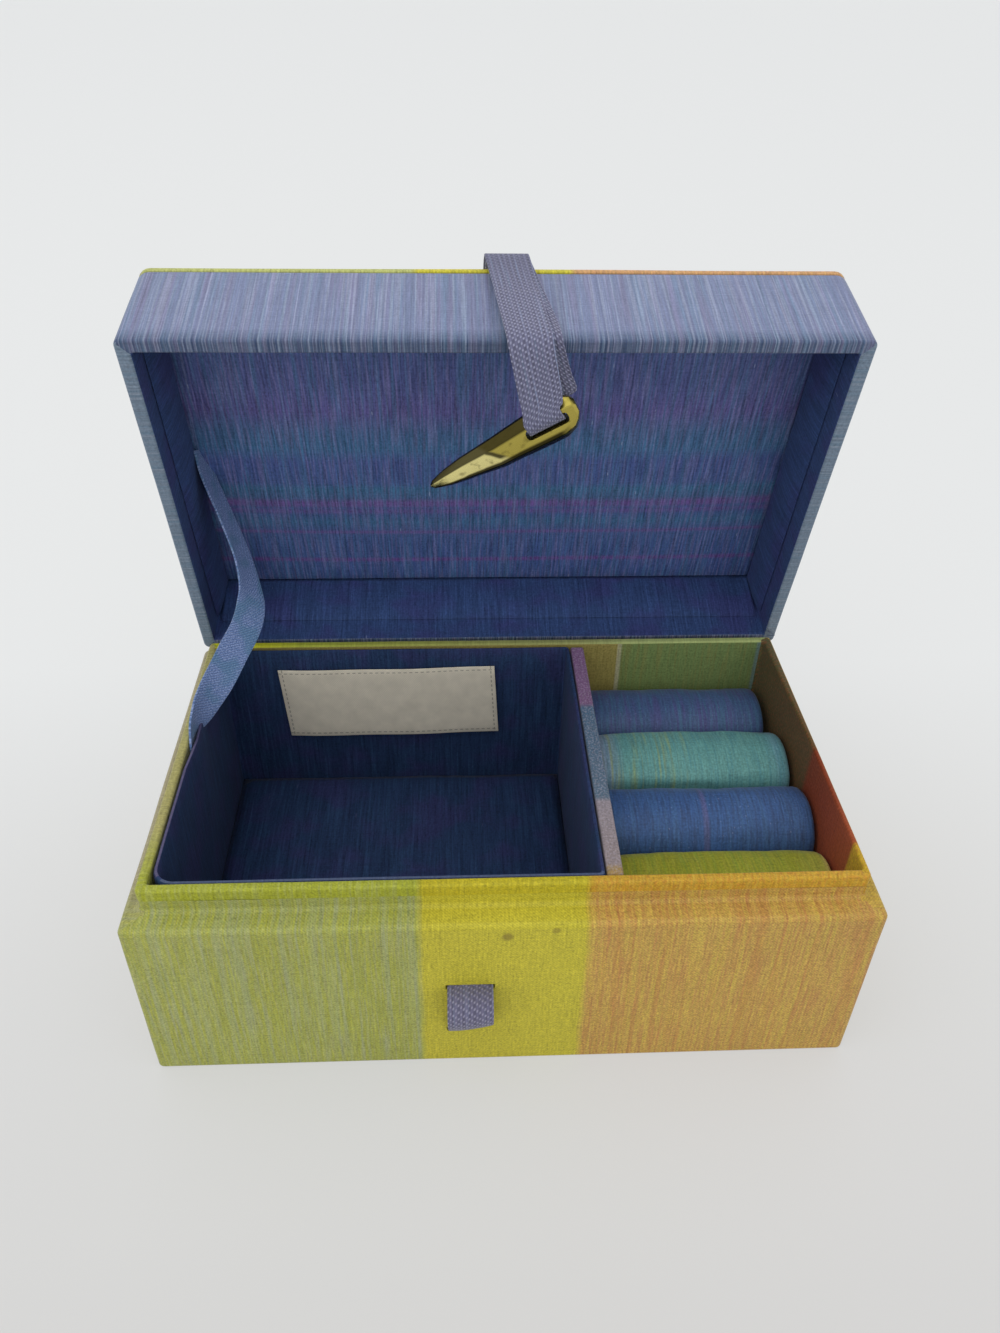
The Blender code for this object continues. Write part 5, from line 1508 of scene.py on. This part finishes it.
def make_toggle():
    """A brass tusk: facets taper from a thick end beside the slot to a fine tip."""
    # Round a section: shares of its height and of its thickness.
    profile = ((0.0, -0.12), (0.16, -0.46), (0.2, -0.5), (0.74, -0.5), (0.79, -0.47), (1.0, -0.12))
    profile += tuple((rise, -out) for rise, out in reversed(profile))
    bm, rings = tube(len(TUSK), len(profile))
    for verts, (x, top, low, thick) in zip(rings, TUSK):
        for vert, (rise, out) in zip(verts, profile):
            vert.co = (x, out * thick, low + (top - low) * rise)
    bmesh.ops.recalc_face_normals(bm, faces=bm.faces)
    toggle = finish_piece("brass_tusk", bm, "brass", BAR_PLACE)
    cutter = finish_piece("slot_shape", board((-4.7, -6.0, -3.6), (5.0, 6.0, -1.2), 0.9), "brass", BAR_PLACE)
    cut(toggle, cutter)
    soften(toggle, 0.2, 20)
    settle(toggle)
    bpy.data.objects.remove(cutter)
    mesh = toggle.data
    uv = mesh.uv_layers["cloth"]
    back = BAR_PLACE.inverted()
    for loop in mesh.loops:
        local = back @ (mesh.vertices[loop.vertex_index].co / MM)
        index = max(0, min(len(TUSK) - 2, sum(1 for section in TUSK if section[0] < local.x) - 1))
        before = TUSK[index]
        after = TUSK[index + 1]
        share = (local.x - before[0]) / (after[0] - before[0])
        top = before[1] + (after[1] - before[1]) * share
        low = before[2] + (after[2] - before[2]) * share
        uv.data[loop.index].uv = (local.x, (local.z - low) / max(0.1, top - low))
    sit(toggle, "toggle_bar", "brass", "toggle")


def make_threads():
    """A few frayed ends of silk at the right end of the hinge, and one loose thread above them."""
    # Where each starts, and how far it reaches.
    starts = (
        ((74.4, 46.9, 50.6), 2.2),
        ((74.9, 46.6, 49.4), 3.1),
        ((75.2, 47.0, 48.2), 1.8),
        ((74.6, 46.4, 51.2), 2.6),
        ((74.2, 46.0, 52.6), 1.6),
    )
    made = bmesh.new()
    for index, (start, reach) in enumerate(starts):
        bm, rings = tube(9, 6)
        for step, verts in enumerate(rings):
            t = step / 8
            curl = 0.5 * math.sin(t * 4 + index * 1.9)
            centre = Vector(start) + Vector((reach * 0.7, -0.4, reach * (0.5 - 0.3 * index) + curl)) * t
            for number, vert in enumerate(verts):
                angle = 2 * math.pi * number / len(verts)
                vert.co = centre + Vector((0.02, math.cos(angle) * 0.09, math.sin(angle) * 0.09))
        take_in(made, bm)
    threads = finish_piece("frayed_threads", made, "front_fold_silk")
    sit(threads, "base", "outer_silk")


def dress_nodes():
    """Boards that keep their own shape get their finish."""
    for node, finish in (("bottom_sheet", "card"), ("well_board", "card"), ("ring_bed", "bed_card")):
        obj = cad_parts[node]
        for index in range(len(obj.material_slots)):
            obj.material_slots[index].material = finishes[finish]


# Studio


PAPER = "#e8e9e8"


def make_floor():
    """Pale paper that runs from a grey front to a lighter far end. The grey front is painted shade, for the
    light falling off towards the front.
    """
    bm = bmesh.new()
    bmesh.ops.create_grid(bm, x_segments=1, y_segments=1, size=6.0)
    floor = link_mesh("studio_floor", bm)
    made, tree, shader = new_finish("matt_paper_floor", 0.95, Specular_IOR_Level=0.1)
    place = add(tree, "TexCoord", take="Object")
    along = add(tree, "SeparateXYZ", {0: place}, take="Y")
    # Painted shade: the paper's colour darkens towards the front, where the light falls off.
    share = add(tree, "MapRange", {0: along, 1: -0.12, 2: 0.1})
    paper = add(tree, "Mix", {0: share, 6: hex_colour("#d6d5d3"), 7: hex_colour(PAPER)}, **COLOURS)
    tree.links.new(paper, shader.inputs["Emission Color"])
    # Seen by the camera, the paper is partly lit by itself, so that the object's shadow on it stays as faint
    # as the many soft lamps of a studio leave it.
    seen = add(tree, "LightPath", take="Is Camera Ray")
    glow = add(tree, "Math", {0: seen, 1: 0.6}, operation="MULTIPLY")
    tree.links.new(glow, shader.inputs["Emission Strength"])
    paler = add(tree, "MapRange", {0: seen, 3: 1.0, 4: 0.4})
    matt = add(tree, "VectorMath", {0: paper, "Scale": paler}, operation="SCALE")
    tree.links.new(matt, shader.inputs["Base Color"])
    floor.data.materials.append(made)


def make_light():
    """An even sky, and one broad soft lamp."""
    world = bpy.data.worlds.new("soft_room")
    bpy.context.scene.world = world
    world.use_nodes = True
    tree = world.node_tree
    background = tree.nodes["Background"]
    seen = add(tree, "LightPath", take="Is Camera Ray")
    colour = add(tree, "Mix", {0: seen, 6: hex_colour("#f4f6fa"), 7: hex_colour(PAPER)}, **COLOURS)
    tree.links.new(colour, background.inputs["Color"])
    background.inputs["Strength"].default_value = 0.95

    lamp_data = bpy.data.lights.new("window_lamp", "AREA")
    lamp_data.shape = "SQUARE"
    lamp_data.size = 1.8
    lamp_data.energy = 5.5
    lamp = bpy.data.objects.new("window_lamp", lamp_data)
    lamp.location = (-0.5, -0.6, 1.3)
    lamp.rotation_euler = (Vector((0, 0, 0.05)) - lamp.location).to_track_quat("-Z", "Y").to_euler()
    bpy.context.scene.collection.objects.link(lamp)


def make_camera():
    """The camera, fitted to the corners of the box in the photograph."""
    pitch = math.radians(37.075)
    yaw = math.radians(3.124)
    roll = math.radians(-1.206)
    forward = Vector((math.sin(yaw) * math.cos(pitch), math.cos(yaw) * math.cos(pitch), -math.sin(pitch)))
    level = Vector((math.cos(yaw), -math.sin(yaw), 0))
    down = forward.cross(level)
    right = level * math.cos(roll) + down * math.sin(roll)
    under = down * math.cos(roll) - level * math.sin(roll)
    data = bpy.data.cameras.new("photo_camera")
    data.lens = 27.91
    data.sensor_width = 36.0
    data.sensor_fit = "AUTO"
    camera = bpy.data.objects.new("photo_camera", data)
    turn = Matrix((right, -under, -forward)).transposed().to_4x4()
    camera.matrix_world = Matrix.Translation(Vector((-10.2, -180.5, 211.7)) * MM) @ turn
    bpy.context.scene.collection.objects.link(camera)
    bpy.context.scene.camera = camera
    bpy.context.scene.view_settings.view_transform = "Standard"


make_camera()
make_floor()
make_light()
make_tray()
make_neck()
make_divider()
make_well_liner()
make_well_pad()
make_label()
make_rolls()
make_foam()
make_closure_loop()
make_lid_shell()
make_lid_panel()
make_lid_liner()
make_lid_cards()
make_hinge()
make_ribbon()
make_strap()
make_toggle()
make_threads()
dress_nodes()
